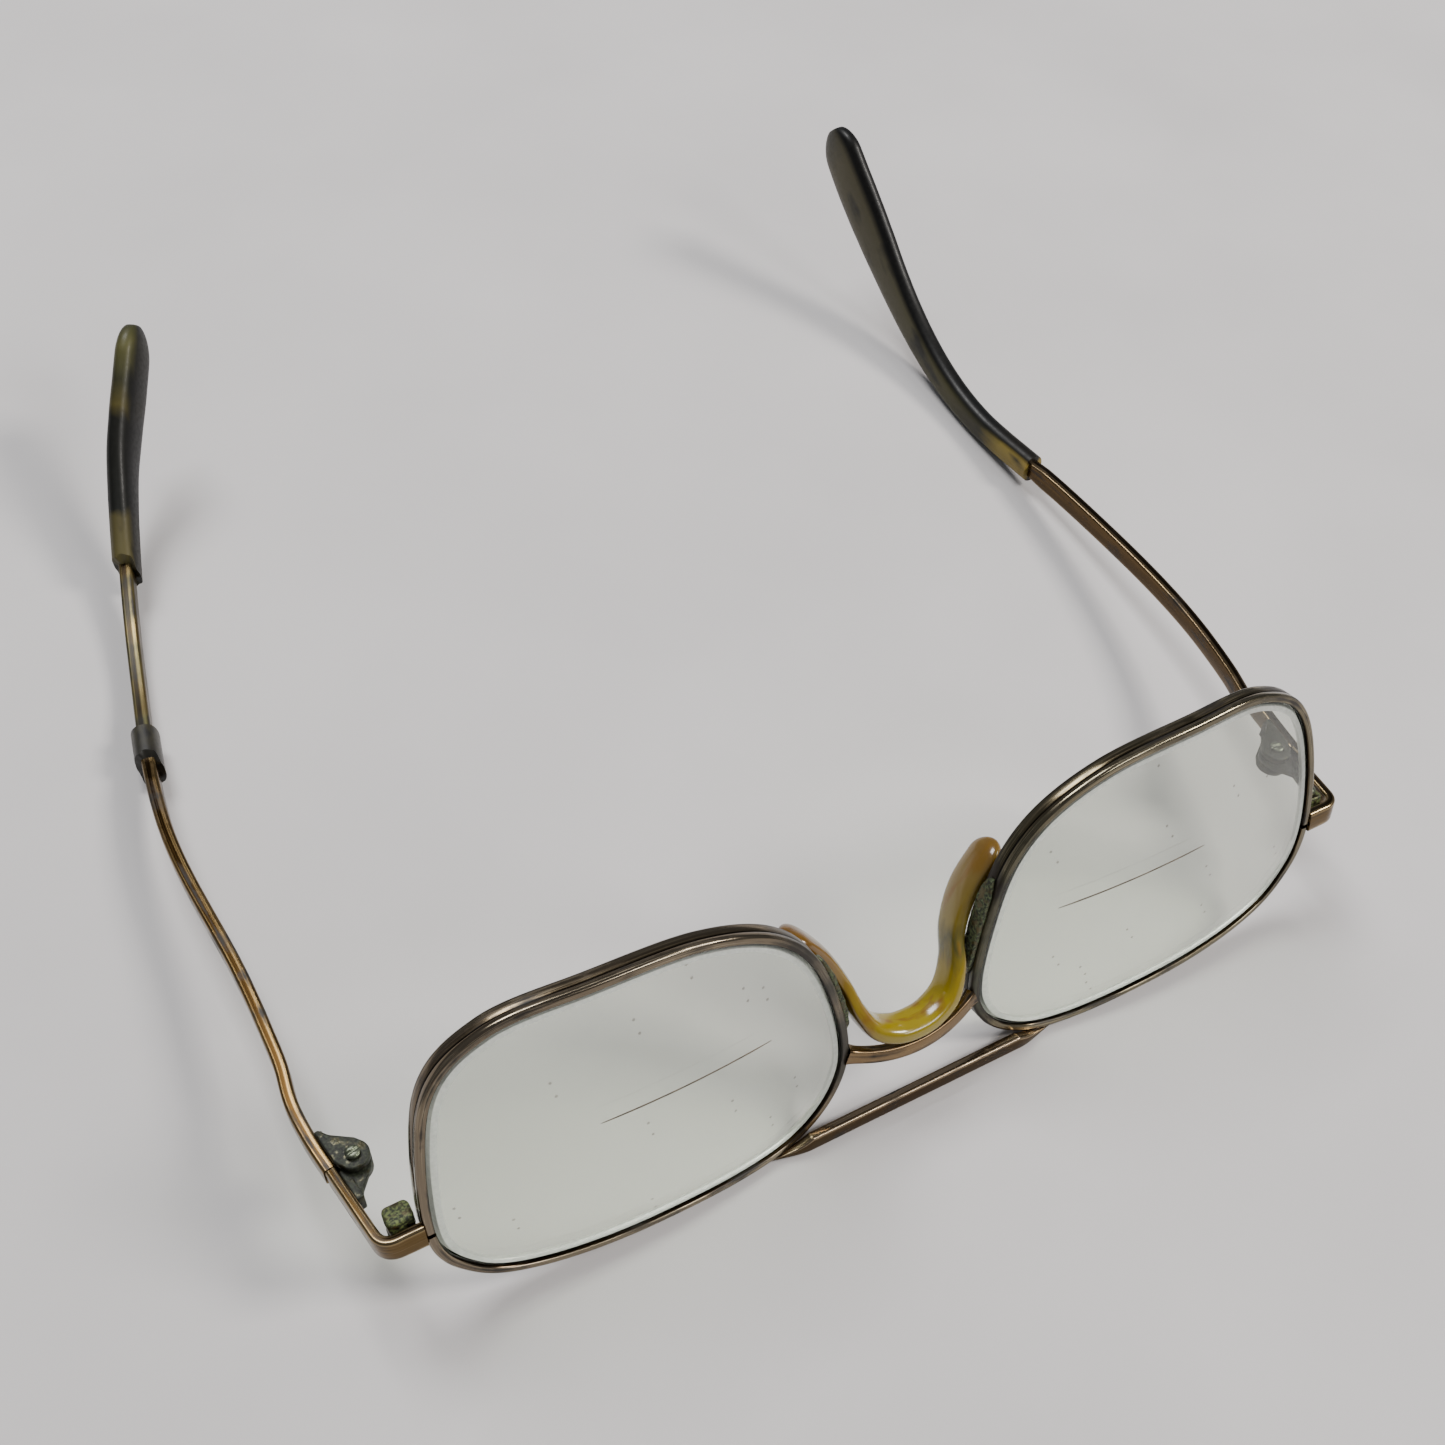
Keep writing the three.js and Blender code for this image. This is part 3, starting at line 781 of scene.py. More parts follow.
@dataclass(frozen=True)
class GroundGlass:
    """The lens's stone-ground edge: a milky band that glows grey-white round the clear glass."""

    name: str = "crown_glass_ground"
    milk: str = "#e2e6df"
    dull: str = "#c6cbc2"
    shade: str = "#d6dad3"
    grit: float = 0.5  # millimetres; a wheel's real grit is too fine to show
    relief: float = 0.03
    clear_share: float = 0.72

    def material(self) -> bpy.types.Material:
        """Builds a glass that is part clear and part a fine-grained diffuse white.

        Returns:
            The material.
        """
        made, tree = new_material(self.name)
        gritty = in_place(tree, self.grit)
        cloud = add(tree, "TexNoise", {"Vector": gritty, "Scale": 1.0, "Detail": 4.0})
        relief = {"Height": cloud, "Strength": 0.2, "Distance": self.relief * METRES}
        looks = {
            "Base Color": add(tree, "ValToRGB", {"Fac": cloud}, ((0.3, self.dull), (0.7, self.milk))),
            "Roughness": 0.3,
            "IOR": 1.52,
            "Transmission Weight": self.clear_share,
            "Normal": add(tree, "Bump", relief),
        }
        ground = add(tree, "BsdfPrincipled", looks)
        add(tree, "OutputMaterial", {"Surface": shadow_clear(tree, ground, self.shade)})
        return made


@dataclass(frozen=True)
class Plain:
    """A finish with one colour that small-scale unevenness breaks up."""

    name: str
    light: str
    dark: str
    grain_size: float
    roughness: float
    metallic: float = 0.0
    uneven: float = 0.08  # how far the roughness strays either way
    relief_share: float = 0.05  # depth of the unevenness against its size

    def material(self) -> bpy.types.Material:
        """Builds the two tones and the roughness from one pattern.

        Returns:
            The material.
        """
        made, tree = new_material(self.name)
        grainy = in_place(tree, self.grain_size)
        cloud = add(tree, "TexNoise", {"Vector": grainy, "Scale": 1.0, "Detail": 6.0})
        spread = {"To Min": self.roughness - self.uneven, "To Max": self.roughness + self.uneven}
        depth = self.grain_size * METRES * self.relief_share
        relief = {"Height": cloud, "Strength": 0.1, "Distance": depth}
        looks = {
            "Base Color": add(tree, "ValToRGB", {"Fac": cloud}, ((0.35, self.dark), (0.65, self.light))),
            "Roughness": add(tree, "MapRange", {"Value": cloud, **spread}),
            "Metallic": self.metallic,
            "Normal": add(tree, "Bump", relief),
        }
        add(tree, "OutputMaterial", {"Surface": add(tree, "BsdfPrincipled", looks)})
        return made


# ---------------------------------------------------------------- the front


@dataclass
class EyeShape:
    """The lens outline and the bow of the front, shared by rims, lenses and what meets them.

    The outline is a table of stations drawn for one lens size and stretched to this one.
    """

    width: float = 50.5
    height: float = 38.9
    nose_width: float = 17.5
    face_radius: float = 119.0
    wrap: float = -1.2
    drawn_width: float = 50.8
    drawn_height: float = 39.2
    stations: int = 2001
    line: Array = field(init=False)
    slope: Array = field(init=False)

    def __post_init__(self) -> None:
        """Draws the outline, counterclockwise from the endpiece on a right-hand lens."""
        drawn = np.array(
            [
                [26.0, -5.5], [23.3, 12.2], [16.0, 18.8], [4.4, 19.5], [-8.2, 18.3], [-17.6, 13.5],
                [-22.7, 4.6], [-24.6, -10.6], [-17.1, -18.9], [0.3, -19.0], [15.0, -17.3], [22.6, -13.6],
            ]
        ) * [self.width / self.drawn_width, self.height / self.drawn_height]
        curve = spline(drawn, closed=True)
        self.line = at_lengths(curve, np.linspace(0, lengths_along(curve)[-1], self.stations))
        steps = np.roll(self.line[:-1], -1, axis=0) - np.roll(self.line[:-1], 1, axis=0)
        self.slope = unit(np.vstack([steps, steps[:1]]))

    @property
    def middle(self) -> float:
        """How far each lens centre is from the middle of the nose."""
        return (self.width + self.nose_width) / 2

    @property
    def girth(self) -> float:
        """The length of the outline."""
        return float(lengths_along(self.line)[-1])

    def depth(self, out: Array, up: Array) -> Array:
        """How far the bowed front lies back: a tilt plus (out² + up²) / (2 radius)."""
        bow = (out**2 + up**2) / (2 * self.face_radius)
        return out * np.tan(np.radians(self.wrap)) + bow

    def near(self, side: Side, fraction: Array, outward: Array, back: Array) -> Array:
        """Points near the rim.

        Args:
            side: which lens.
            fraction: shares of the way round the outline.
            outward: distances out from the groove's floor.
            back: distances behind the rim's front face.

        Returns:
            Points in the front's frame.
        """
        share = np.mod(fraction, 1.0)
        stations = np.linspace(0, 1, len(self.line))
        x, y = (np.interp(share, stations, self.line[:, i]) for i in range(2))
        slope_x, slope_y = (np.interp(share, stations, self.slope[:, i]) for i in range(2))
        across = side.value * (self.middle + x + slope_y * outward)
        height = y - slope_x * outward
        return np.stack(np.broadcast_arrays(across, self.depth(x, y) + back, height), -1)

    def crossing(self, height: float, nasal: bool) -> tuple[float, float]:
        """Where the outline crosses a height.

        Args:
            height: the height about the lens centre.
            nasal: whether on the side of the nose or on the temple's.

        Returns:
            The crossing's x about the lens centre, and its share of the way round.
        """
        on_side = (self.line[:, 0] < 0) == nasal
        index = int(np.argmin(np.where(on_side, np.abs(self.line[:, 1] - height), np.inf)))
        return float(self.line[index, 0]), index / (len(self.line) - 1)


@dataclass
class Rim:
    """A grooved eye wire: drawn round the lens and sawn through behind the endpiece."""

    shape: EyeShape
    out: float = 0.7
    lip: float = 0.4
    depth: float = 2.5
    front_radius: float = 0.42
    back_radius: float = 0.25
    groove: float = 1.2
    split: float = 0.6
    line_at: float = 0.95  # how far back the drawn line lies on the outer face
    line_half: float = 0.13
    line_deep: float = 0.07
    rings: int = 320

    def section(self) -> Array:
        """The wire's section: two rounded corners outside, a shallow drawn line on the outer
        face, and a V groove for the lens between two lips with worn edges.

        Returns:
            [outward, back] pairs, counterclockwise.
        """
        front = np.linspace(-np.pi / 2, 0, 7)
        rear = np.linspace(0, np.pi / 2, 5)
        corner_out = self.out + self.front_radius * (np.cos(front) - 1)
        corner = np.stack([corner_out, self.front_radius * (1 + np.sin(front))], 1)
        heel_out = self.out + self.back_radius * (np.cos(rear) - 1)
        heel = np.stack([heel_out, self.depth - self.back_radius * (1 - np.sin(rear))], 1)
        waist, half, lip = self.depth / 2, self.groove / 2, self.lip
        line = [
            [self.out, self.line_at - self.line_half], [self.out - self.line_deep, self.line_at],
            [self.out, self.line_at + self.line_half],
        ]
        inner = [
            [0.15 - lip, self.depth], [-lip, self.depth - 0.12], [-lip, waist + half], [0, waist],
            [-lip, waist - half], [-lip, 0.22], [0.05 - lip, 0.08], [0.16 - lip, 0],
        ]
        return np.vstack([corner, line, heel, inner])

    def build(self, side: Side) -> Array:
        """The rim, from one side of its saw cut round to the other.

        Args:
            side: which rim.

        Returns:
            Rings in the front's frame.
        """
        start = self.split / 2 / self.shape.girth
        fractions = np.linspace(start, 1 - start, self.rings)
        section = self.section()
        return self.shape.near(side, fractions[:, None], section[None, :, 0], section[None, :, 1])


@dataclass
class Lens:
    """A bifocal lens: bowed front and back, a ground edge in the rim's groove, and the fine
    step of its reading segment on the front face."""

    shape: EyeShape
    rim_depth: float = 2.5
    lip: float = 0.4
    seat: float = 0.3
    edge: float = 1.8
    crown: float = 0.4
    columns: int = 160
    face_rings: int = 13
    band_from: float = 0.972  # share of the outline where the ground edge starts to show
    worn_out: float = 0.04  # how the edge's corners are taken off
    worn_in: float = 0.05
    line_width: float = 0.25
    line_height: float = 0.08
    line_sunk: float = 0.02
    line_ends: tuple = ((-14.6, 1.3), (6.5, 2.0))

    def face(self, side: Side, scale: Array, outward: float, back: float, crown: float) -> Array:
        """Rings of one face: the outline scaled about the lens centre, at the bow's depth.

        Args:
            side: which lens.
            scale: the share of the outline at each ring.
            outward: how far out from the groove's floor the full ring lies.
            back: the face's distance behind the rim's front.
            crown: how much further back its middle swells.

        Returns:
            Rings of points.
        """
        fractions = np.arange(self.columns) / self.columns
        ring = self.shape.near(side, fractions, outward, 0)
        out = (ring[:, 0] * side.value - self.shape.middle) * np.asarray(scale)[:, None]
        up = ring[:, 2] * np.asarray(scale)[:, None]
        swell = crown * (1 - (out**2 + up**2) / (self.shape.width / 2) ** 2)
        depth = self.shape.depth(out, up) + back + swell
        return np.stack([side.value * (self.shape.middle + out), depth, up], axis=-1)

    def build(self, side: Side) -> Array:
        """The lens from the middle of its front, round its edge, to the middle behind.

        Args:
            side: which lens.

        Returns:
            Rings in the front's frame.
        """
        waist, half = self.rim_depth / 2, self.edge / 2
        shoulder = -self.seat - self.lip - self.seat / 2
        worn = shoulder + self.worn_out
        scales = np.concatenate([np.linspace(0.02, self.band_from, self.face_rings), [1.0]])
        front = self.face(side, scales, shoulder, waist - half, 0)
        back = self.face(side, scales[::-1], shoulder, waist + half, self.crown)
        rounded_front = self.face(side, [1.0], worn, waist - half + self.worn_in, 0)
        tip = self.face(side, [1.0], -self.seat, waist, 0)
        rounded_back = self.face(side, [1.0], worn, waist + half - self.worn_in, 0)
        return np.concatenate([front, rounded_front, tip, rounded_back, back])

    def frost_edge(self, piece: bpy.types.Object, finish: bpy.types.Material) -> None:
        """Gives the faces outside the clear area, front, edge and back, the ground finish.

        Args:
            piece: the lens.
            finish: the ground finish.
        """
        piece.data.materials.append(finish)
        ring = np.arange(len(piece.data.polygons)) // self.columns
        first, last = self.face_rings - 1, self.face_rings + 4
        index = np.where((ring >= first) & (ring <= last), 1, 0).astype(np.int32)
        piece.data.polygons.foreach_set("material_index", index)

    def segment_line(self, side: Side) -> Array:
        """The straight upper edge of the reading segment: a hair-thin ridge on the front face
        that tapers out at its ends, as the root of 8t (1 - t) held to 1 or less.

        Args:
            side: which lens.

        Returns:
            Rings in the front's frame.
        """
        t = np.linspace(0, 1, 60)
        ends = np.array(self.line_ends)
        flat = ends[0] + t[:, None] * (ends[1] - ends[0])
        front = self.rim_depth / 2 - self.edge / 2 - self.line_sunk
        depth = self.shape.depth(flat[:, 0], flat[:, 1]) + front
        across = side.value * (self.shape.middle + flat[:, 0])
        middle = np.stack([across, depth, flat[:, 1]], axis=1)
        taper = 0.25 + 0.75 * np.sqrt(np.clip(8 * t * (1 - t), 0, 1))
        section = superoval(self.line_width, self.line_height, 2.0, 8)
        rail = Rail(middle, np.array([0.0, 1.0, 0.0]))
        return rail.carry(section[None] * taper[:, None, None])


@dataclass
class Saddle:
    """The one-piece nose saddle: an arch over the nose with two legs that open out behind the
    rims. Its front carries a soft lengthwise ridge, and its ends are rounded off."""

    depth: float = 4.4
    arch_thick: float = 2.6
    leg_thick: float = 2.0
    flare: float = 8.0
    round_end: float = 0.1
    reach: float = 9.0
    crest: float = -8.4
    crest_back: float = 3.3
    right_leg_bent: tuple = (1.0, -0.3, 0.5)  # the used saddle is no longer even
    leg_widen: float = 0.12
    ridge_angle: float = -2.2  # radians round the section
    ridge_width: float = 0.28
    ridge_rise: float = 0.07
    body: float = 0.965  # size of the section where there is no ridge

    def build(self) -> Array:
        """A section squarer than an oval, with a ridge raised on its outer front, thinning
        from the arch to the legs and closing as a quarter circle.

        The ridge is rise times e^-(turn from its middle / width)².

        Returns:
            Rings in the front's frame.
        """
        right = np.array(
            [
                [13.9, 8.2, self.reach], [12.0, 8.1, self.reach - 1.4], [9.6, 7.9, 4.2], [7.8, 6.9, 0],
                [6.8, 5.2, -3.6], [5.2, 4.1, -6.6], [2.6, 3.5, self.crest + 0.3],
            ]
        )
        points = np.vstack([right * [-1, 1, 1], [0, self.crest_back, self.crest], right[::-1]])
        curve = spline(points, closed=False)
        leg = ease(curve[:, 0], 4, 13) * ease(curve[:, 2], -5, 9)
        curve = curve + leg[:, None] * np.array(self.right_leg_bent)
        end_share = np.sin(np.linspace(-np.pi / 2, np.pi / 2, 161))
        lengths = (end_share + 1) / 2 * lengths_along(curve)[-1]
        rail = Rail(at_lengths(curve, lengths), np.array([0.0, 1.0, 0.0]))
        along = lengths_along(rail.middle)
        end = np.abs(2 * along / along[-1] - 1)
        into = np.clip((end - 1 + self.round_end) / self.round_end, 0, 1)
        close = np.maximum(0.06, np.sqrt(1 - into**2))
        thick = self.arch_thick + (self.leg_thick - self.arch_thick) * ease(end, 0.15, 0.5)
        outline = superoval(1, 1, 2.5, 56)
        angle = np.arctan2(outline[:, 1], outline[:, 0])
        ridge = self.ridge_rise * np.exp(-(((angle - self.ridge_angle) / self.ridge_width) ** 2))
        outline = outline * (self.body + ridge)[:, None]
        wide = self.depth * (1 + self.leg_widen * ease(end, 0.4, 0.8))
        sections = outline[None] * np.stack([thick * close, wide * close], axis=1)[:, None]
        flare = np.radians(self.flare) * end[:, None]
        out, deep = sections[..., 0], sections[..., 1]
        turned_out = out * np.cos(flare) - deep * np.sin(flare)
        turned_deep = out * np.sin(flare) + deep * np.cos(flare)
        return rail.carry(np.stack([turned_out, turned_deep], -1))


@dataclass
class Front:
    """The brow bar, the bridge, both eyes and the saddle, on the body "front"."""

    shape: EyeShape
    placement: Placement
    finishes: dict
    bridge_height: float = 2.0
    bridge_depth: float = 1.3
    bridge_drop: float = -9.3
    bridge_arch: float = 1.6
    bridge_inset: float = -0.25
    bar_height: float = 2.0
    bar_depth: float = 1.3
    bar_end: float = 23.0
    bar_taper: float = 15.0
    bar_lap: float = 0.45
    bar_back: float = 2.0
    flange_width: float = 1.6
    flange_thick: float = 0.4
    flange_span: tuple = (7.5, -6.0)
    crust_back: float = 0.45  # how far the crust reaches back over the strip's own width
    crust_swell: float = 0.07
    solder_swell: float = 0.22  # how much wider the bridge is where it meets a rim
    bridge_lap: float = 0.15  # how far its solder runs on towards each rim
    bar_middle: float = 9.0  # half the stretch that needs few rings
    bar_thinning: float = 0.7  # share of its depth that its ends lose
    bar_end_back: float = 0.9
    bar_least: float = 0.04
    flange_sunk: float = 0.03
    rim_out: float = 0.7
    rim_depth: float = 2.5
    seat: float = 0.3

    def fix(
        self, name: str, rings: Array, finish: str, node: str | None
    ) -> bpy.types.Object:
        """Places rings of the front, makes them a piece and installs it on the front."""
        piece = skin(name, self.placement.place(rings))
        return install(piece, self.finishes[finish], "front", node)

    def bridge(self) -> Array:
        """The arched bar between the rims, with a solder fillet that widens each end.

        Its bow is arch times (1 - s²) with s from -1 to 1 between the rims, and the fillet's
        swell is e^(-2 gap) of its full size at a gap in millimetres from the end.

        Returns:
            Rings in the front's frame.
        """
        rim_x, _ = self.shape.crossing(self.bridge_drop, True)
        reach = self.shape.middle + rim_x - self.rim_out + self.bridge_lap
        back = self.shape.depth(rim_x, self.bridge_drop) + self.bridge_inset + self.bridge_depth / 2
        share = np.linspace(-1, 1, 81)
        bow = self.bridge_arch * (1 - share**2)
        middle = np.stack([share * reach, back - bow, self.bridge_drop - bow], axis=1)
        rail = Rail(middle, np.array([0.0, 0.0, 1.0]))
        gap = reach * (1 - np.abs(share))
        fillet = 1 + self.solder_swell * np.exp(-gap / 0.5)
        section = rounded(self.bridge_depth, self.bridge_height, 0.3)
        return rail.carry(section[None] * fillet[:, None, None])

    def brow_bar(self) -> Array:
        """The straight bar under the rims, with rounded edges; near its ends its section is
        ground away where it runs along the curve of each rim.

        Returns:
            Rings in the front's frame.
        """
        rim_wall = self.shape.near(Side.RIGHT, np.linspace(0, 1, 721), self.rim_out, 0)
        low = float(rim_wall[:, 2].min()) - self.bar_lap
        end = np.linspace(self.bar_middle, self.bar_end, 90)
        plain = self.bar_middle - 0.2
        x = np.concatenate([-end[::-1], np.linspace(-plain, plain, 40), end])
        slim = ease(np.abs(x), self.bar_taper, self.bar_end)
        section = rounded(self.bar_depth, self.bar_height, 0.28)
        rings = np.zeros((len(x), len(section), 3))
        rings[..., 0] = x[:, None]
        middle = self.bar_back + self.bar_depth / 2 + self.bar_end_back * slim[:, None]
        rings[..., 1] = middle + section[:, 0] * (1 - self.bar_thinning * slim[:, None])
        ceiling = np.minimum(low + self.bar_height, self.rim_floor(np.abs(x)) + 0.02)
        foot = low + slim * np.maximum(ceiling - low - self.bar_least, 0)
        height = np.maximum(ceiling - foot, self.bar_least)
        level = (section[:, 1] + self.bar_height / 2) / self.bar_height
        rings[..., 2] = foot[:, None] + level[None] * height[:, None]
        return rings

    def rim_floor(self, x: Array) -> Array:
        """The height of the rim's outer face on the brow side, at distances from the nose.

        Args:
            x: distances from the middle.

        Returns:
            Heights, or a large value nearer the nose than the rim reaches.
        """
        fractions = np.linspace(0, 1, self.shape.stations)
        wall = self.shape.near(Side.RIGHT, fractions, self.rim_out, 0)
        low = wall[wall[:, 2] < -11]  # the brow side only
        order = np.argsort(low[:, 0])
        inner = low[:, 0].min()
        height = np.interp(x, low[order, 0], low[order, 2])
        no_rim = 99.0  # higher than any bar
        return np.where(x < inner, no_rim, height)

    def flange(self, side: Side) -> Array:
        """The strip soldered along the rim's nasal side, lumpy with corrosion.

        Its section keeps 0.3 + 0.7 (1 - s⁶) of its size, with s from -1 to 1 along it.

        Args:
            side: which rim.

        Returns:
            Rings in the front's frame.
        """
        first, last = (self.shape.crossing(height, True)[1] for height in self.flange_span)
        fractions = np.linspace(first, last, 90)
        thick = self.flange_thick + self.seat
        section = rounded(thick, self.flange_width + self.crust_back, 0.2)
        share = np.linspace(-1, 1, len(fractions))[:, None]
        thin = 0.3 + 0.7 * (1 - share**6)
        out = self.rim_out + (thick / 2 + section[None, :, 0]) * thin - self.flange_sunk
        back = (self.rim_depth + self.crust_back) / 2 + section[None, :, 1] * thin
        rings = self.shape.near(side, fractions[:, None], out, back)
        swell = self.crust_swell * (grain(rings, 1.1, 3) + 0.5 * grain(rings, 0.5, 5))
        return rings + (swell * (section[:, 0] > 0))[..., None] * [-side.value, 0, 0]

    def build(self) -> None:
        """Builds every piece of the front but the endpieces."""
        self.fix("brow_bar_dressed", self.brow_bar(), "bar", "brow_bar")
        self.fix("bridge_dressed", self.bridge(), "bridge", "bridge")
        self.fix("nose_saddle_dressed", Saddle().build(), "saddle", "nose_saddle")
        rim, lens = Rim(self.shape), Lens(self.shape)
        for side in Side:
            wire, glass, flange = (side.word + part for part in ("_rim", "_lens", "_saddle_flange"))
            self.fix(wire + "_dressed", rim.build(side), wire, wire)
            pane = self.fix(glass + "_dressed", lens.build(side), "glass", glass)
            lens.frost_edge(pane, self.finishes["bevel"])
            line = lens.segment_line(side)
            self.fix(side.word + "_segment_edge", line, "segment", None)
            self.fix(flange + "_dressed", self.flange(side), "flange", flange)


# ---------------------------------------------------------------- endpieces, hinges, temples


@dataclass
class HingeSizes:
    """Sizes that the endpiece, the hinge and the temple share."""

    strip_height: float = 3.0
    strip_thick: float = 1.2
    strip_rise: float = -5.0
    strip_proud: float = 0.2  # how far its face stands before the bow of the front
    corner_reach: float = 4.4
    corner_radius: float = 1.8
    endpiece_length: float = 11.4
    endpiece_flare: float = 9.5
    endpiece_rise: float = 7.5
    temple_rise: float = 12.0
    offset: float = 2.8
    butt_gap: float = 0.35
    rim_out: float = 0.7
    seat: float = 0.3

    def rim_side(self, shape: EyeShape) -> tuple[float, float]:
        """Where the strip leaves the rim.

        Args:
            shape: the lens outline.

        Returns:
            The place's distance from the middle, and how far back the strip's middle is.
        """
        x, _ = shape.crossing(self.strip_rise, False)
        back = float(shape.depth(np.array(x), np.array(self.strip_rise)))
        return shape.middle + x + self.rim_out, back + self.strip_thick / 2 - self.strip_proud

    def placement(self, shape: EyeShape, side: Side) -> Placement:
        """The hinge's place in the front's frame: its z is the screw's axis.

        Args:
            shape: the lens outline.
            side: which hinge.

        Returns:
            The placement of the hinge's frame.
        """
        rim_x, strip_back = self.rim_side(shape)
        flare = np.radians(self.endpiece_flare)
        back = self.endpiece_length * np.cos(flare)
        rise = np.radians(self.endpiece_rise)
        butt = np.array(
            [
                side.value * (rim_x + self.corner_reach + self.endpiece_length * np.sin(flare)),
                strip_back + back * np.cos(rise),
                self.strip_rise + back * np.sin(rise),
            ]
        )
        turn = turn_about(0, self.temple_rise) @ turn_about(2, -side.value * self.endpiece_flare)
        return Placement(turn, butt - turn @ np.array([side.value * self.offset, 0, 0]))


@dataclass
class Endpiece:
    """The strip from the rim round the corner to the hinge, with the rim's lock."""

    shape: EyeShape
    sizes: HingeSizes
    placement: Placement
    finishes: dict
    lock_length: float = 3.0
    lock_depth: float = 2.8
    lock_height: float = 2.2
    split: float = 0.6
    screw_radius: float = 0.6
    head_radius: float = 1.0
    head_rise: float = 0.8
    lump: float = 0.05  # unevenness of the crust on the lock

    def strip(self, side: Side) -> Array:
        """The strip: straight, round the corner, and straight to the butt.

        The corner is corner + radius (inward (1 - s)² + backward s²), with s from 0 to 1.

        Args:
            side: which endpiece.

        Returns:
            Rings in the front's frame.
        """
        sizes = self.sizes
        rim_x, strip_back = sizes.rim_side(self.shape)
        hinge = sizes.placement(self.shape, side)
        sign = side.value
        start = np.array([sign * (rim_x + sizes.seat - JOINT_LAP), strip_back, sizes.strip_rise])
        corner = np.array([sign * (rim_x + sizes.corner_reach), strip_back, sizes.strip_rise])
        butt = hinge.place(np.array([sign * sizes.offset, -sizes.butt_gap / 2, 0]))
        inward, backward = unit(start - corner), unit(butt - corner)
        share = np.linspace(0, 1, 24)[:, None]
        bend = corner + sizes.corner_radius * (inward * (1 - share) ** 2 + backward * share**2)
        path = np.vstack([start, bend, butt])
        middle = at_lengths(path, np.linspace(0, lengths_along(path)[-1], 120))
        t = np.linspace(0, 1, len(middle))
        lean = ease(t, 0.1, 0.5)[:, None]
        upright = (1 - lean) * np.array([0.0, 0.0, 1.0]) + lean * hinge.turn[:, 2]
        rail = Rail(middle, upright)
        return rail.carry(rounded(sizes.strip_thick, sizes.strip_height, 0.32))

    def lock_middle(self) -> tuple[float, float]:
        """The middle of the lock in plan.

        Returns:
            Its distance from the middle of the front, and how far back it is.
        """
        sizes = self.sizes
        rim_x, strip_back = sizes.rim_side(self.shape)
        back = strip_back + sizes.strip_thick / 2 + sizes.seat + self.lock_depth / 2
        return rim_x + sizes.seat + self.lock_length / 2, back

    def lock(self, side: Side, upper: bool) -> Array:
        """One half of the lock: a block with filed corners and rounded faces.

        Args:
            side: which lock.
            upper: whether it is the half above the saw cut.

        Returns:
            Rings in the front's frame.
        """
        x, back = self.lock_middle()
        height = self.lock_height - self.split / 2
        low = self.sizes.strip_rise + (self.split / 2 if upper else -self.split / 2 - height)
        outline = rounded(self.lock_length, self.lock_depth, 0.7, 6)
        rings = plate(outline, low, low + height, 0.3) + [x, back, 0]
        rings[..., 0] *= side.value
        return rings + self.lump * grain(rings, 1.2, 7)[..., None] * [0.6, 0.6, 0.3]

    def screw(self, side: Side) -> Array:
        """The lock's screw: a slotted dome and a plain shank. Its head is up on the right and
        down on the left.

        Args:
            side: which lock.

        Returns:
            Rings in the front's frame.
        """
        x, back = self.lock_middle()
        length = 2 * self.lock_height - 0.4
        rings = slotted_screw(self.screw_radius, self.head_radius, length, self.head_rise)
        if side is Side.LEFT:
            rings = rings * [1, -1, -1]
        head = self.sizes.strip_rise + side.value * (self.lock_height + self.sizes.seat)
        return rings + [side.value * x, back, head]

    def build(self, side: Side) -> None:
        """Builds the strip, the lock's halves and its screw.

        Args:
            side: which side's.
        """
        word = side.word
        pieces = [
            ("_endpiece", self.strip(side), "strip", "gold_filled"),
            ("_rim_lock_upper", self.lock(side, True), "crust", "tarnished_metal"),
            ("_rim_lock_lower", self.lock(side, False), "crust", "tarnished_metal"),
            ("_rim_lock_screw", self.screw(side), "screw", "screw_steel"),
        ]
        for node, rings, finish, slot in pieces:
            piece = skin(word + node + "_dressed", self.placement.place(rings))
            install(piece, self.finishes[finish], "front", word + node)


def slotted_screw(shank: float, head: float, length: float, rise: float) -> Array:
    """A screw as rings turned about z, its head above z = 0 and its slot pressed into the dome.

    Args:
        shank: the shank's radius.
        head: the head's radius.
        length: the shank's length.
        rise: the head's height.

    Returns:
        Rings from the tip of the shank to the top of the head.
    """
    slot_half, slot_deep = 0.2, 0.45  # the slot's depth is a share of the head's height
    dome = np.linspace(0, np.pi / 2, 9)
    dome_radii, dome_heights = head * np.cos(dome) ** 0.7, rise * (0.35 + 0.65 * np.sin(dome))
    radii = np.concatenate([[shank * 0.7, shank, shank, head * 0.92, head], dome_radii])
    heights = np.concatenate([[-length, 0.2 - length, -0.02, 0, 0.08], dome_heights])
    radii = np.maximum(radii, head * 0.03)
    rings = lathe(radii, heights, 64)
    slot = np.exp(-((rings[..., 1] / slot_half) ** 4)) * (rings[..., 2] > rise * 0.3)
    rings[..., 2] -= slot_deep * rise * slot
    return rings


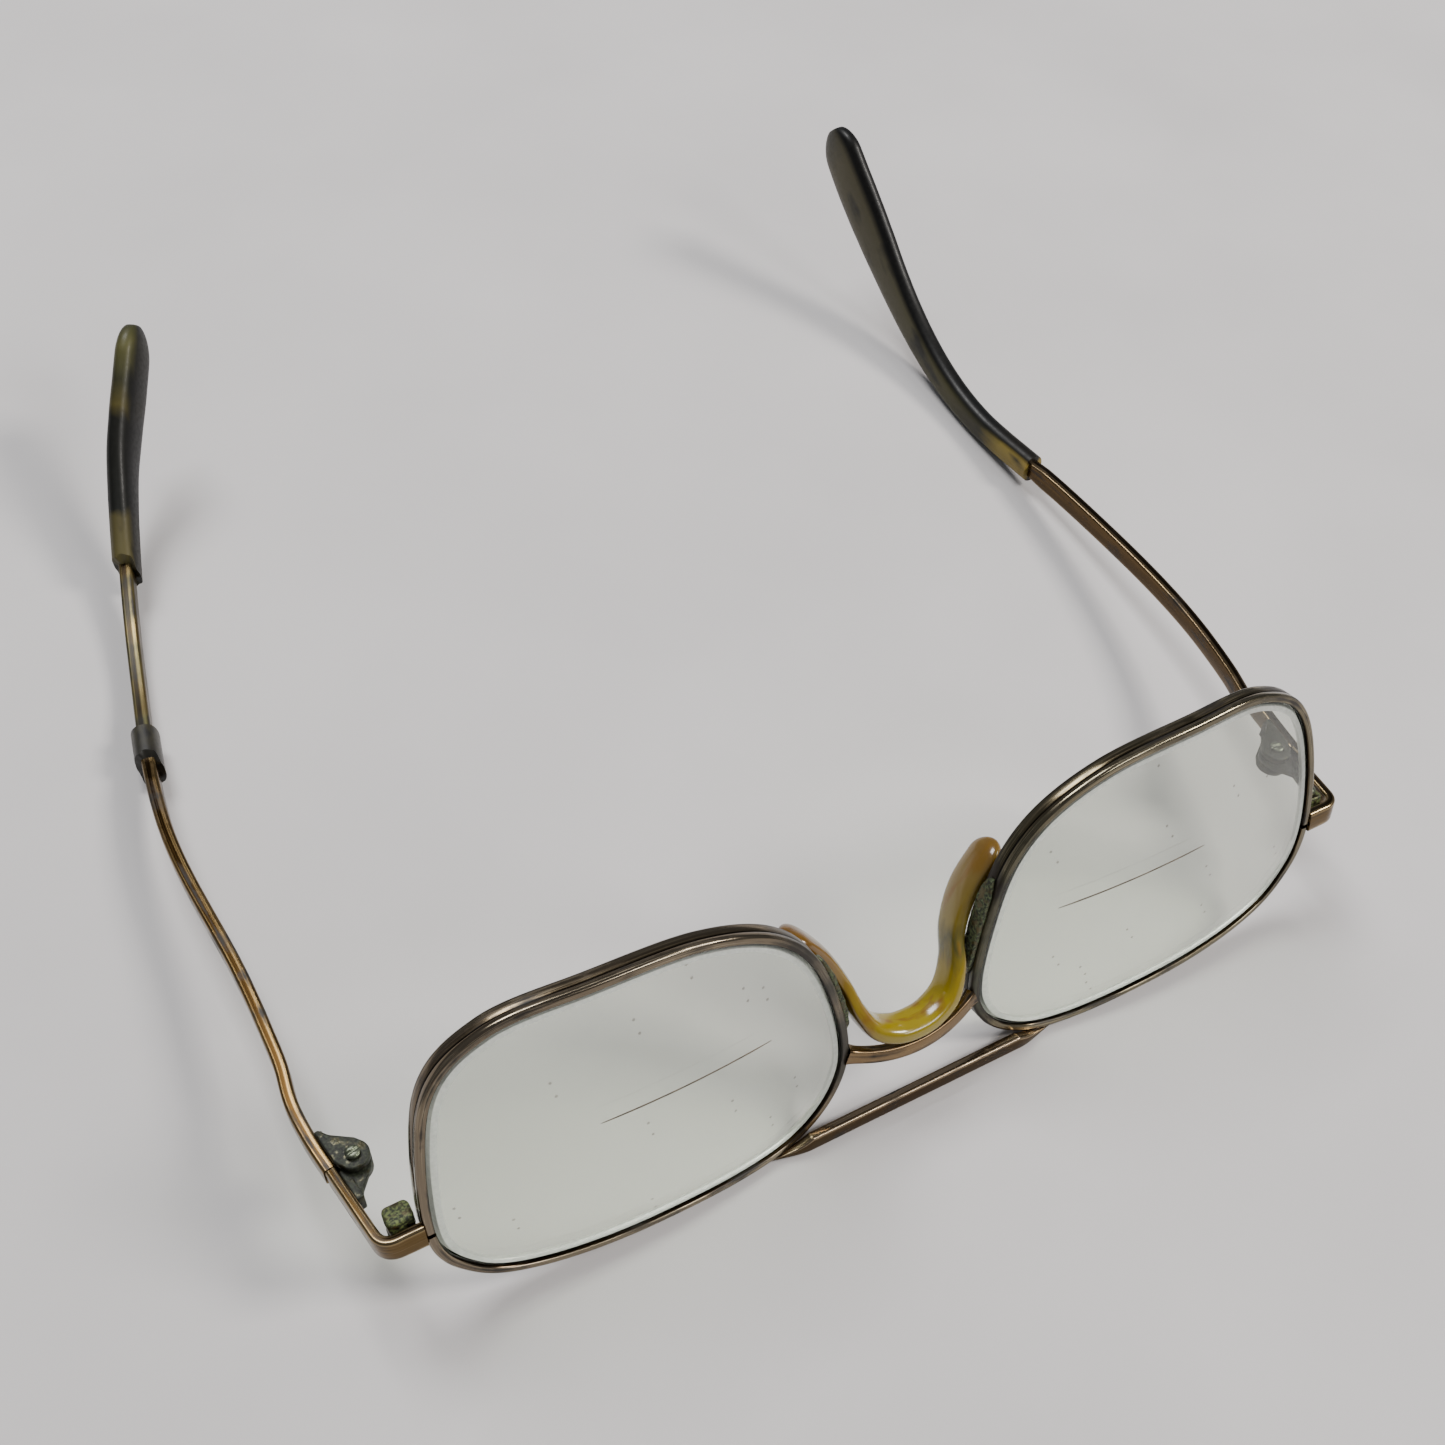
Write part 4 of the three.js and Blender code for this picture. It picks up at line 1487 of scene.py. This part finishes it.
@dataclass
class Hinge:
    """Two leaves on one screw: the front's single leaf between the temple's pair."""

    sizes: HingeSizes
    placements: dict
    finishes: dict
    barrel_radius: float = 1.8
    screw_radius: float = 0.65
    head_radius: float = 0.85
    leaf_thick: float = 1.0
    leaf_gap: float = 0.2
    leaf_length: float = 4.8
    leaf_back: float = 0.6
    leaf_edge: float = 0.22
    backing_edge: float = 0.15
    head_rise: float = 0.45

    def outline(self, along: int) -> Array:
        """A leaf in plan: round about the screw, then tapering along the strip.

        Args:
            along: 1 for a leaf that runs back along the temple, -1 for the front's.

        Returns:
            The outline about the screw, counterclockwise.
        """
        face = self.sizes.offset - self.sizes.strip_thick / 2 - self.sizes.seat + 0.25
        start = np.arctan2(0.6, -0.8)
        angles = np.linspace(start, 2 * np.pi - np.pi * 0.18, 40)
        arc = self.barrel_radius * np.stack([np.cos(angles), np.sin(angles)], axis=1)
        rest = [
            [face, 0.5], [face, self.leaf_length], [face - self.leaf_back * 0.8, self.leaf_length],
            [face - self.leaf_back - 0.6, self.leaf_length * 0.75],
            [-self.barrel_radius * 0.6, self.barrel_radius * 0.95],
        ]
        loop = np.vstack([arc, rest, arc[:1]])
        stations = np.linspace(0, 1, 97)[:-1] * lengths_along(loop)[-1]
        leaf = at_lengths(loop, stations)
        return leaf if along > 0 else (leaf * [1, -1])[::-1]

    def leaf(self, side: Side, along: int, low: float, high: float) -> Array:
        """One leaf: a flat plate with worn edges.

        Args:
            side: which hinge.
            along: 1 for a temple's leaf, -1 for the front's.
            low: height of its lower face along the screw.
            high: height of its upper face.

        Returns:
            Rings in the front's frame.
        """
        rings = plate(self.outline(along), low, high, self.leaf_edge) * [side.value, 1, 1]
        return self.placements[side].place(rings)

    def backing(self, side: Side, along: int) -> Array:
        """The plate behind the leaves that is riveted to the strip.

        Args:
            side: which hinge.
            along: 1 for the temple's plate, -1 for the front's.

        Returns:
            Rings in the front's frame.
        """
        face = self.sizes.offset - self.sizes.strip_thick / 2 - self.sizes.seat
        near = self.barrel_radius + 0.4
        outline = rounded(self.leaf_back + 0.3, self.leaf_length - near, 0.2, 4)
        centre = [face - self.leaf_back / 2 + 0.15, along * (self.leaf_length + near) / 2, 0]
        half = self.sizes.strip_height / 2 - 0.2
        rings = (plate(outline, -half, half, self.backing_edge) + centre) * [side.value, 1, 1]
        return self.placements[side].place(rings)

    def screw(self, side: Side) -> Array:
        """The hinge screw, head up.

        Args:
            side: which hinge.

        Returns:
            Rings in the front's frame.
        """
        top = self.leaf_thick / 2 + self.leaf_gap + self.leaf_thick + self.leaf_gap
        rings = slotted_screw(self.screw_radius, self.head_radius, 2 * top, self.head_rise)
        return self.placements[side].place(rings + [0, 0, top])

    def build(self, side: Side, world: Placement) -> None:
        """Builds the leaves, their backing plates and the screw.

        Args:
            side: which side's.
            world: where the front lies in the world.
        """
        half = self.leaf_thick / 2
        near = half + self.leaf_gap
        far = near + self.leaf_thick
        front, temple = side.word + "_front_leaf", side.word + "_temple_leaf"
        swung = side.temple_body
        plates = [
            (front + "_dressed", self.leaf(side, -1, -half, half), "front", front),
            (front + "_back", self.backing(side, -1), "front", None),
            (temple + "_upper", self.leaf(side, 1, near, far), swung, temple),
            (temple + "_lower", self.leaf(side, 1, -far, -near), swung, None),
            (temple + "_back", self.backing(side, 1), swung, None),
        ]
        for name, rings, body, node in plates:
            piece = skin(name, world.place(rings))
            install(piece, self.finishes["leaf"], body, node)
        node = side.word + "_hinge_screw"
        screw = skin(node + "_dressed", world.place(self.screw(side)))
        install(screw, self.finishes["screw"], swung, node)


@dataclass
class Temple:
    """A temple: a strip that steps down to the core of its tip and bends down round the ear."""

    side: Side
    sizes: HingeSizes
    placement: Placement
    finishes: dict
    bent_out: tuple
    length: float = 75.0
    height: float = 2.7
    thick: float = 1.5
    swell: float = 1.2
    core_height: float = 2.6
    core_thick: float = 1.9
    core_reach: float = 44.0
    ear_radius: float = 50.0
    ear_angle: float = 49.0
    ear_tail: float = 21.0
    sleeve_length: float = 8.0
    sleeve_height: float = 4.6
    sleeve_thick: float = 3.6
    paddle_height: float = 9.0
    paddle_thick: float = 3.8
    leaf_length: float = 4.8
    collar_length: float = 6.0
    broken_length: float = 29.0
    tip_short: float = 0.32
    tip_power: float = 2.35
    round_end: float = 5.0
    break_step: float = 1.2
    break_fade: float = 2.2
    end: float = field(init=False)
    curve: Array = field(init=False)

    def __post_init__(self) -> None:
        """Works out the middle line: straight, an arc round the ear, a straight tail, and the
        sideways bend laid over them."""
        bend = self.ear_radius * np.radians(self.ear_angle)
        self.end = self.length + bend + self.ear_tail
        length = np.linspace(0, self.end, 29)
        turned = np.clip(length - self.length, 0, bend) / self.ear_radius
        tail = np.maximum(length - self.length - bend, 0)
        out = self.sideways(length / self.end) * ease(length, self.leaf_length, 16)
        radius = self.ear_radius
        y = np.minimum(length, self.length) + radius * np.sin(turned) + tail * np.cos(turned)
        z = radius * (1 - np.cos(turned)) + tail * np.sin(turned)
        points = np.stack([self.sizes.offset + out, y, z], axis=1)
        points[0, 1] += self.sizes.butt_gap / 2
        self.curve = spline(points, closed=False)

    def sideways(self, share: Array) -> Array:
        """The sideways bend, in cubic spans between even stations, where the end ones count
        twice.

        Args:
            share: shares of the temple's length.

        Returns:
            How far out the middle line lies there.
        """
        values = np.array([self.bent_out[0], *self.bent_out, self.bent_out[-1]], float)
        spans = len(self.bent_out) - 1
        at = np.clip(share * spans, 0, spans - 1e-9)
        index = at.astype(int)
        return cubic([values[index + i] for i in range(4)], at - index)

    def rail(self, lengths: Array) -> Rail:
        """The middle line at lengths along it."""
        return Rail(at_lengths(self.curve, lengths), np.array([0.0, 0.0, 1.0]))

    def strip(self) -> Array:
        """The strip and core: a rounded flat section that swells to the ear, then steps down
        to the core inside the tip.

        Returns:
            Rings in the hinge's frame.
        """
        ear_start = self.length - self.sleeve_length
        core_end = self.length + self.core_reach
        lengths = np.concatenate(
            [np.linspace(0, ear_start - 3, 150), np.linspace(ear_start, core_end, 100)]
        )
        swell = (1 + (self.swell - 1) * lengths / ear_start)[:, None, None]
        strip = rounded(self.thick, self.height, 0.34)[None] * swell
        core = rounded(self.core_thick, self.core_height, 0.4)[None]
        inside = (lengths > ear_start - 2)[:, None, None]
        return self.rail(lengths).carry(np.where(inside, core, strip))

    def tip_sections(self, lengths: Array) -> Array:
        """The tip's sections: between an oval and a rectangle, deepening to a paddle and closing
        at the end as a quarter circle, √(1 - (1 - distance left / radius)²).

        Args:
            lengths: lengths along the temple.

        Returns:
            One outline for each length.
        """
        share = ease(lengths, self.length - self.sleeve_length, self.end - 8)
        height = self.sleeve_height + (self.paddle_height - self.sleeve_height) * share**1.6
        thick = self.sleeve_thick + (self.paddle_thick - self.sleeve_thick) * share
        left = np.maximum(0, self.end - lengths)
        closing = np.sqrt(np.clip(1 - (1 - left / self.round_end) ** 2, 0.004, 1))
        blunt = np.where(left < self.round_end, closing, 1)
        sizes = np.stack([thick * (0.25 + 0.75 * blunt), height * blunt], axis=1)
        return superoval(1, 1, self.tip_power, 48)[None] * sizes[:, None]

    def tip(self, start: float, end: float, broken: bool) -> Array:
        """A length of tip. A snapped front steps by tanh of the sine of the turn round it, with
        small teeth, and the step fades over a few millimetres.

        Args:
            start: where it begins, along the temple.
            end: where it ends.
            broken: whether its front has snapped off unevenly.

        Returns:
            Its rings.
        """
        count = max(24, int((end - start) * 3.2))
        closing = np.sin(np.linspace(0, np.pi / 2, count))
        blend = np.linspace(0, 1, count)
        share = blend if end < self.end - 1 else 0.4 * blend + 0.6 * closing
        lengths = start + (end - start) * share
        rings = self.rail(lengths).carry(self.tip_sections(lengths))
        if broken:
            angle = np.linspace(0, 2 * np.pi, rings.shape[1], endpoint=False)
            step = self.break_step * np.tanh(5 * np.sin(angle + 0.7))
            jag = step + 0.12 * np.sin(5 * angle) + 0.08 * np.sin(9 * angle + 1)
            fade = np.exp(-(lengths - start) / self.break_fade)[:, None]
            rings = rings + (jag[None] * fade)[..., None] * self.rail(lengths).along[:, None]
        return rings

    def build(self, world: Placement) -> None:
        """Builds the strip, the tip and, where the tip is broken, the collar that is left.

        Args:
            world: where the front lies in the world.
        """
        word = self.side.word
        ear_start = self.length - self.sleeve_length
        broken = self.side is Side.LEFT
        start = ear_start + (self.collar_length + self.broken_length if broken else 0)
        end = self.end - self.tip_short
        pieces = [
            ("_temple", self.strip(), word + "_strip", "gold_filled"),
            ("_temple_tip", self.tip(start, end, broken), word + "_tip", "olive_acetate"),
        ]
        if broken:
            collar = self.tip(ear_start, ear_start + self.collar_length, True)
            pieces.append(("_tip_collar", collar, "collar", "olive_acetate"))
        for node, rings, finish, slot in pieces:
            placed = world.place(self.placement.place(rings * [self.side.value, 1, 1]))
            piece = skin(word + node + "_dressed", placed)
            install(piece, self.finishes[finish], self.side.temple_body, word + node)


# ---------------------------------------------------------------- the studio


def aimed(name: str, data: bpy.types.ID, where: Array, forward: Array, up: Array) -> bpy.types.Object:
    """Sets out a camera or a lamp.

    Args:
        name: its name.
        data: the camera's or the lamp's settings.
        where: its place in metres.
        forward: the direction in which it looks, of length one.
        up: a direction that lies upwards in its view.

    Returns:
        The object, linked to the scene.
    """
    right = unit(np.cross(forward, up))
    matrix = np.eye(4)
    matrix[:3] = np.stack([right, np.cross(right, forward), -forward, where], axis=1)
    thing = bpy.data.objects.new(name, data)
    thing.matrix_world = Matrix(matrix.tolist())
    bpy.context.scene.collection.objects.link(thing)
    return thing


@dataclass
class Studio:
    """Pale floor, soft lights and the camera, set out from the front's frame."""

    front: Placement
    eye: tuple = (-71.8, -107.8, 131.9)
    forward: tuple = (0.339, 0.737, -0.584)
    up: tuple = (0.333, 0.487, 0.807)
    focal: float = 39.74
    sensor: float = 36.0
    floor_half: float = 3.0  # metres, as are the lamps' places and sizes

    def camera(self) -> None:
        """The camera, looking down over the front's left corner."""
        data = bpy.data.cameras.new("camera")
        data.lens, data.sensor_width = self.focal, self.sensor
        data.clip_start, data.clip_end = 0.005, 20
        where = self.front.place(np.array(self.eye)) * METRES
        forward = unit(self.front.turn @ np.array(self.forward))
        up = self.front.turn @ np.array(self.up)
        bpy.context.scene.camera = aimed("camera", data, where, forward, up)

    def lamp(self, name: str, where: tuple, size: float, power: float, tone: str) -> None:
        """A square soft light that faces the glasses.

        Args:
            name: its name.
            where: its place in metres.
            size: its side in metres.
            power: its power in watts.
            tone: its colour.
        """
        data = bpy.data.lights.new(name, "AREA")
        data.shape, data.size, data.energy = "SQUARE", size, power
        data.color = linear(tone)[:3]
        aimed(name, data, np.array(where), -unit(np.array(where)), np.array([0.0, 0.0, 1.0]))

    def build(self, floor_finish: bpy.types.Material) -> None:
        """Sets up the camera, the floor, the lights and a dim even surround.

        Args:
            floor_finish: the floor's finish.
        """
        self.camera()
        half = self.floor_half
        corners = [[-half, -half, 0.0], [half, -half, 0.0], [half, half, 0.0], [-half, half, 0.0]]
        mesh = bpy.data.meshes.new("floor")
        mesh.from_pydata(corners, [], [[0, 1, 2, 3]])
        mesh.materials.append(floor_finish)
        floor = bpy.data.objects.new("floor", mesh)
        bpy.context.scene.collection.objects.link(floor)
        self.lamp("overhead", (-0.1, 0.5, 0.9), 0.4, 9.5, "#ffffff")
        self.lamp("window", (0.75, -0.45, 0.85), 0.28, 12.0, "#fffaf4")
        self.lamp("front", (0.4, -0.9, 0.8), 0.3, 4.0, "#ffffff")
        world = bpy.data.worlds.new("surround")
        world.use_nodes = True
        shade = world.node_tree.nodes["Background"]
        shade.inputs["Color"].default_value = linear("#b9bcc2")
        shade.inputs["Strength"].default_value = 0.4
        bpy.context.scene.world = world


# ---------------------------------------------------------------- putting it together


# Shades round a section by share of the way round, multiplied into its colour, and how green a
# rim is by share of its length. On the gold pieces the shades are painted shade: they darken
# faces, grooves and edges and leave the parts that catch the light full bright.
# Painted shade round the rim's section: the drawn line on the outer face is darkened as a shaded groove,
# and the heel, the back face and the lens groove between the lips are darkened most; the front face and
# its outer corner stay full bright.
RIM_PAINTED_SHADE = (
    (0.0, CLEAN), (0.1, CLEAN), (0.15, "#e0d9cc"), (0.16, "#3a342c"), (0.185, "#3a342c"),
    (0.2, "#d8d1c4"), (0.34, CLEAN), (0.38, "#5a5246"), (0.42, "#4a4338"), (0.84, "#3a322a"),
    (0.9, "#6a5b4a"), (0.93, CLEAN), (1.0, CLEAN),
)
# Painted shade round the strips' section: both narrow edges much darker and both broad faces a little
# darker, so that the rounded corners stay full bright.
STRIP_PAINTED_SHADE = (
    (0.0, CLEAN), (0.06, CLEAN), (0.08, "#6a6154"), (0.125, "#6a6154"), (0.145, CLEAN),
    (0.2, CLEAN), (0.23, "#b5ab9a"), (0.48, "#b5ab9a"), (0.5, CLEAN), (0.57, CLEAN),
    (0.59, "#5e564a"), (0.63, "#5e564a"), (0.65, CLEAN), (0.72, CLEAN), (0.75, "#b5ab9a"),
    (0.96, "#b5ab9a"), (1.0, CLEAN),
)
# Painted shade round the section of the brow bar and the bridge: on the bar the front face darkens away
# from its edge on the rims' side, a thin dark line runs beside that rounded edge, and the underside and
# back are a little darker, while the face towards the rims and the rounded edge stay full bright; the
# bridge takes the same bands.
BAR_PAINTED_SHADE = (
    (0.0, "#c9bfae"), (0.06, "#8a8072"), (0.1, CLEAN), (0.17, CLEAN), (0.19, "#5e564a"),
    (0.205, CLEAN), (0.25, CLEAN), (0.29, "#7a7060"), (0.48, "#6a6154"), (0.55, "#c9bfae"),
    (1.0, "#c9bfae"),
)
TIP_SHADE = (
    (0.0, CLEAN), (0.12, CLEAN), (0.18, "#1f1c16"), (0.33, "#1f1c16"), (0.38, CLEAN),
    (0.62, CLEAN), (0.7, "#3a352c"), (0.8, "#3a352c"), (0.88, CLEAN), (1.0, CLEAN),
)
LEFT_TIP_SHADE = (
    (0.0, "#8a8a80"), (0.13, CLEAN), (0.3, CLEAN), (0.38, "#4a483e"), (0.62, "#4a483e"),
    (0.72, "#8a8a80"), (1.0, "#8a8a80"),
)
SADDLE_SHADE = (
    (0.0, CLEAN), (0.33, CLEAN), (0.36, "#cdbb85"), (0.4, CLEAN), (0.62, CLEAN),
    (0.66, "#b89f66"), (0.71, CLEAN), (1.0, CLEAN),
)
NASAL_GREEN = (
    (0.0, UNSTAINED), (0.36, UNSTAINED), (0.43, "#e6e6e6"), (0.6, CLEAN), (0.64, UNSTAINED),
    (1.0, UNSTAINED),
)
# Colours of the plastic pieces by share of the length: the tips from the front, the saddle
# from the end of its left leg.
OLIVE = (
    (0.0, "#857236"), (0.09, "#7a6b2e"), (0.15, "#2b291a"), (0.3, "#3e3b22"), (0.6, "#46422f"),
    (0.9, "#48432f"), (1.0, "#25231a"),
)
LEFT_OLIVE = (
    (0.0, "#4d4728"), (0.2, "#453f24"), (0.235, "#0d0e0a"), (0.6, "#10100b"), (0.66, "#463f1c"),
    (0.76, "#2b2b1a"), (0.9, "#4c4a28"), (1.0, "#2c2d19"),
)
AMBER = (
    (0.0, "#5c3f0c"), (0.15, "#6a4d0c"), (0.3, "#7a660a"), (0.5, "#86760a"), (0.66, "#7e6c0c"),
    (0.72, "#4f4a1c"), (0.78, "#7a6a26"), (0.9, "#75602a"), (1.0, "#6e4e16"),
)


def finishes() -> dict[str, bpy.types.Material]:
    """Makes every finish of the glasses and the floor.

    Returns:
        The materials, by the part that each dresses.
    """
    rims = {"worn": "#b5a88e", "bands": RIM_PAINTED_SHADE, "roughness": 0.16, "stained": NASAL_GREEN}
    gold = {
        "bar": AgedGold("rolled_gold_brow_bar", gold="#a18d74", tarnished_from=0.55, bands=BAR_PAINTED_SHADE),
        "bridge": AgedGold("rolled_gold_bridge", gold="#a38f76", tarnished_from=0.53, bands=BAR_PAINTED_SHADE),
        "left_rim": AgedGold(
            "rolled_gold_left_rim", gold="#746959", tarnished_from=0.52, stain="#34332e", **rims
        ),
        "right_rim": AgedGold(
            "rolled_gold_right_rim", gold="#6a6351", tarnished_from=0.5, stain="#2f3324", **rims
        ),
        "strip": AgedGold(
            "rolled_gold_endpiece", gold="#867352", tarnished_from=0.51, bands=STRIP_PAINTED_SHADE
        ),
        "left_strip": AgedGold(
            "rolled_gold_left_temple", gold="#755f3d", worn="#957f52", tarnished_from=0.51,
            stained=((0.5, UNSTAINED), (0.6, "#f0f0f0"), (1.0, "#e0e0e0")), stain="#494a2a",
            bands=STRIP_PAINTED_SHADE,
        ),
        "right_strip": AgedGold(
            "rolled_gold_right_temple", gold="#746249", worn="#927e5a", tarnished_from=0.54,
            stained=((0.4, "#202020"), (0.56, "#a0a0a0")), stain="#4c4a2c", bands=STRIP_PAINTED_SHADE,
        ),
    }
    plain = {
        "crust": Verdigris("nickel_silver_verdigris", crust="#2a2e1c", salts="#66713f"),
        "flange": Verdigris("nickel_silver_flange"),
        "leaf": Verdigris(
            "nickel_silver_hinge", metal="#3d3b2e", crust="#171813", salts="#2e3226",
            crusted_from=0.42,
        ),
        "screw": Plain(
            "screw_steel_turned", light="#757a6a", dark="#454a3c", grain_size=0.5, roughness=0.4,
            metallic=1.0,
        ),
        "saddle": Acetate(
            "amber_acetate", AMBER, mottle="#735410", mottle_size=5.0, mottled_from=0.56, glow=0.13,
            roughness=0.17, bands=SADDLE_SHADE, scuffing=0.05,
        ),
        "right_tip": Acetate(
            "olive_acetate_right", OLIVE, mottle="#1b1a12", mottle_size=14.0, mottled_from=0.54,
            glow=0.03, roughness=0.42, bands=TIP_SHADE, coat=0.04, shine=0.3,
        ),
        "left_tip": Acetate(
            "olive_acetate_left", LEFT_OLIVE, mottle="#15150e", mottle_size=12.0, mottled_from=0.56,
            glow=0.03, roughness=0.45, bands=LEFT_TIP_SHADE, coat=0.03, shine=0.25,
        ),
        "collar": Acetate(
            "olive_acetate_collar", ((0.0, "#1b1913"), (1.0, "#2b281a")), mottle="#15130f",
            mottle_size=3.0, mottled_from=0.5, glow=0.05, roughness=0.4, coat=0.1,
        ),
        "glass": LensGlass(),
        "bevel": GroundGlass(),
        "segment": Plain(
            "segment_edge_ground", light="#6f6353", dark="#4f463a", grain_size=1.0, roughness=0.5
        ),
        "floor": Plain(
            "paper_pale_matt", light="#cbc8c8", dark="#c4c1c1", grain_size=60.0, roughness=0.75
        ),
    }
    return {name: finish.material() for name, finish in {**gold, **plain}.items()}


def front_placement(shape: EyeShape, sizes: HingeSizes, tilt: float = 19.5) -> Placement:
    """Where the front lies in the world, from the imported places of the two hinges.

    Args:
        shape: the lens outline.
        sizes: the hinge's sizes.
        tilt: how far the front leans back, in degrees.

    Returns:
        The placement of the front's frame.
    """
    turn = turn_about(0, -tilt)
    hinges = {joint["child"]: joint for joint in frame["record"]["behaviour"]["joints"]}
    shifts = [
        np.array(hinges[side.temple_body]["pos_m"]) / METRES
        - turn @ sizes.placement(shape, side).shift
        for side in Side
    ]
    return Placement(turn, np.mean(shifts, axis=0))


def main() -> None:
    """Builds the studio and every sub-assembly."""
    logging.basicConfig(level=logging.INFO, format="%(name)s: %(message)s")
    shape, sizes = EyeShape(), HingeSizes()
    world = front_placement(shape, sizes)
    dressed = finishes()
    Studio(world).build(dressed["floor"])
    Front(shape, world, dressed).build()
    endpiece = Endpiece(shape, sizes, world, dressed)
    places = {side: sizes.placement(shape, side) for side in Side}
    hinge = Hinge(sizes, places, dressed)
    for side, bent_out, paddle in (
        (Side.LEFT, (0, -3.6, -6.3, -14.9, -26.6, -41.0), 7.9),
        (Side.RIGHT, (0, 1.2, -2.2, -8.0, -12.7, -18.0), 9.0),
    ):
        endpiece.build(side)
        hinge.build(side, world)
        temple = Temple(side, sizes, places[side], dressed, bent_out, paddle_height=paddle)
        temple.build(world)


if __name__ == "__main__":
    main()
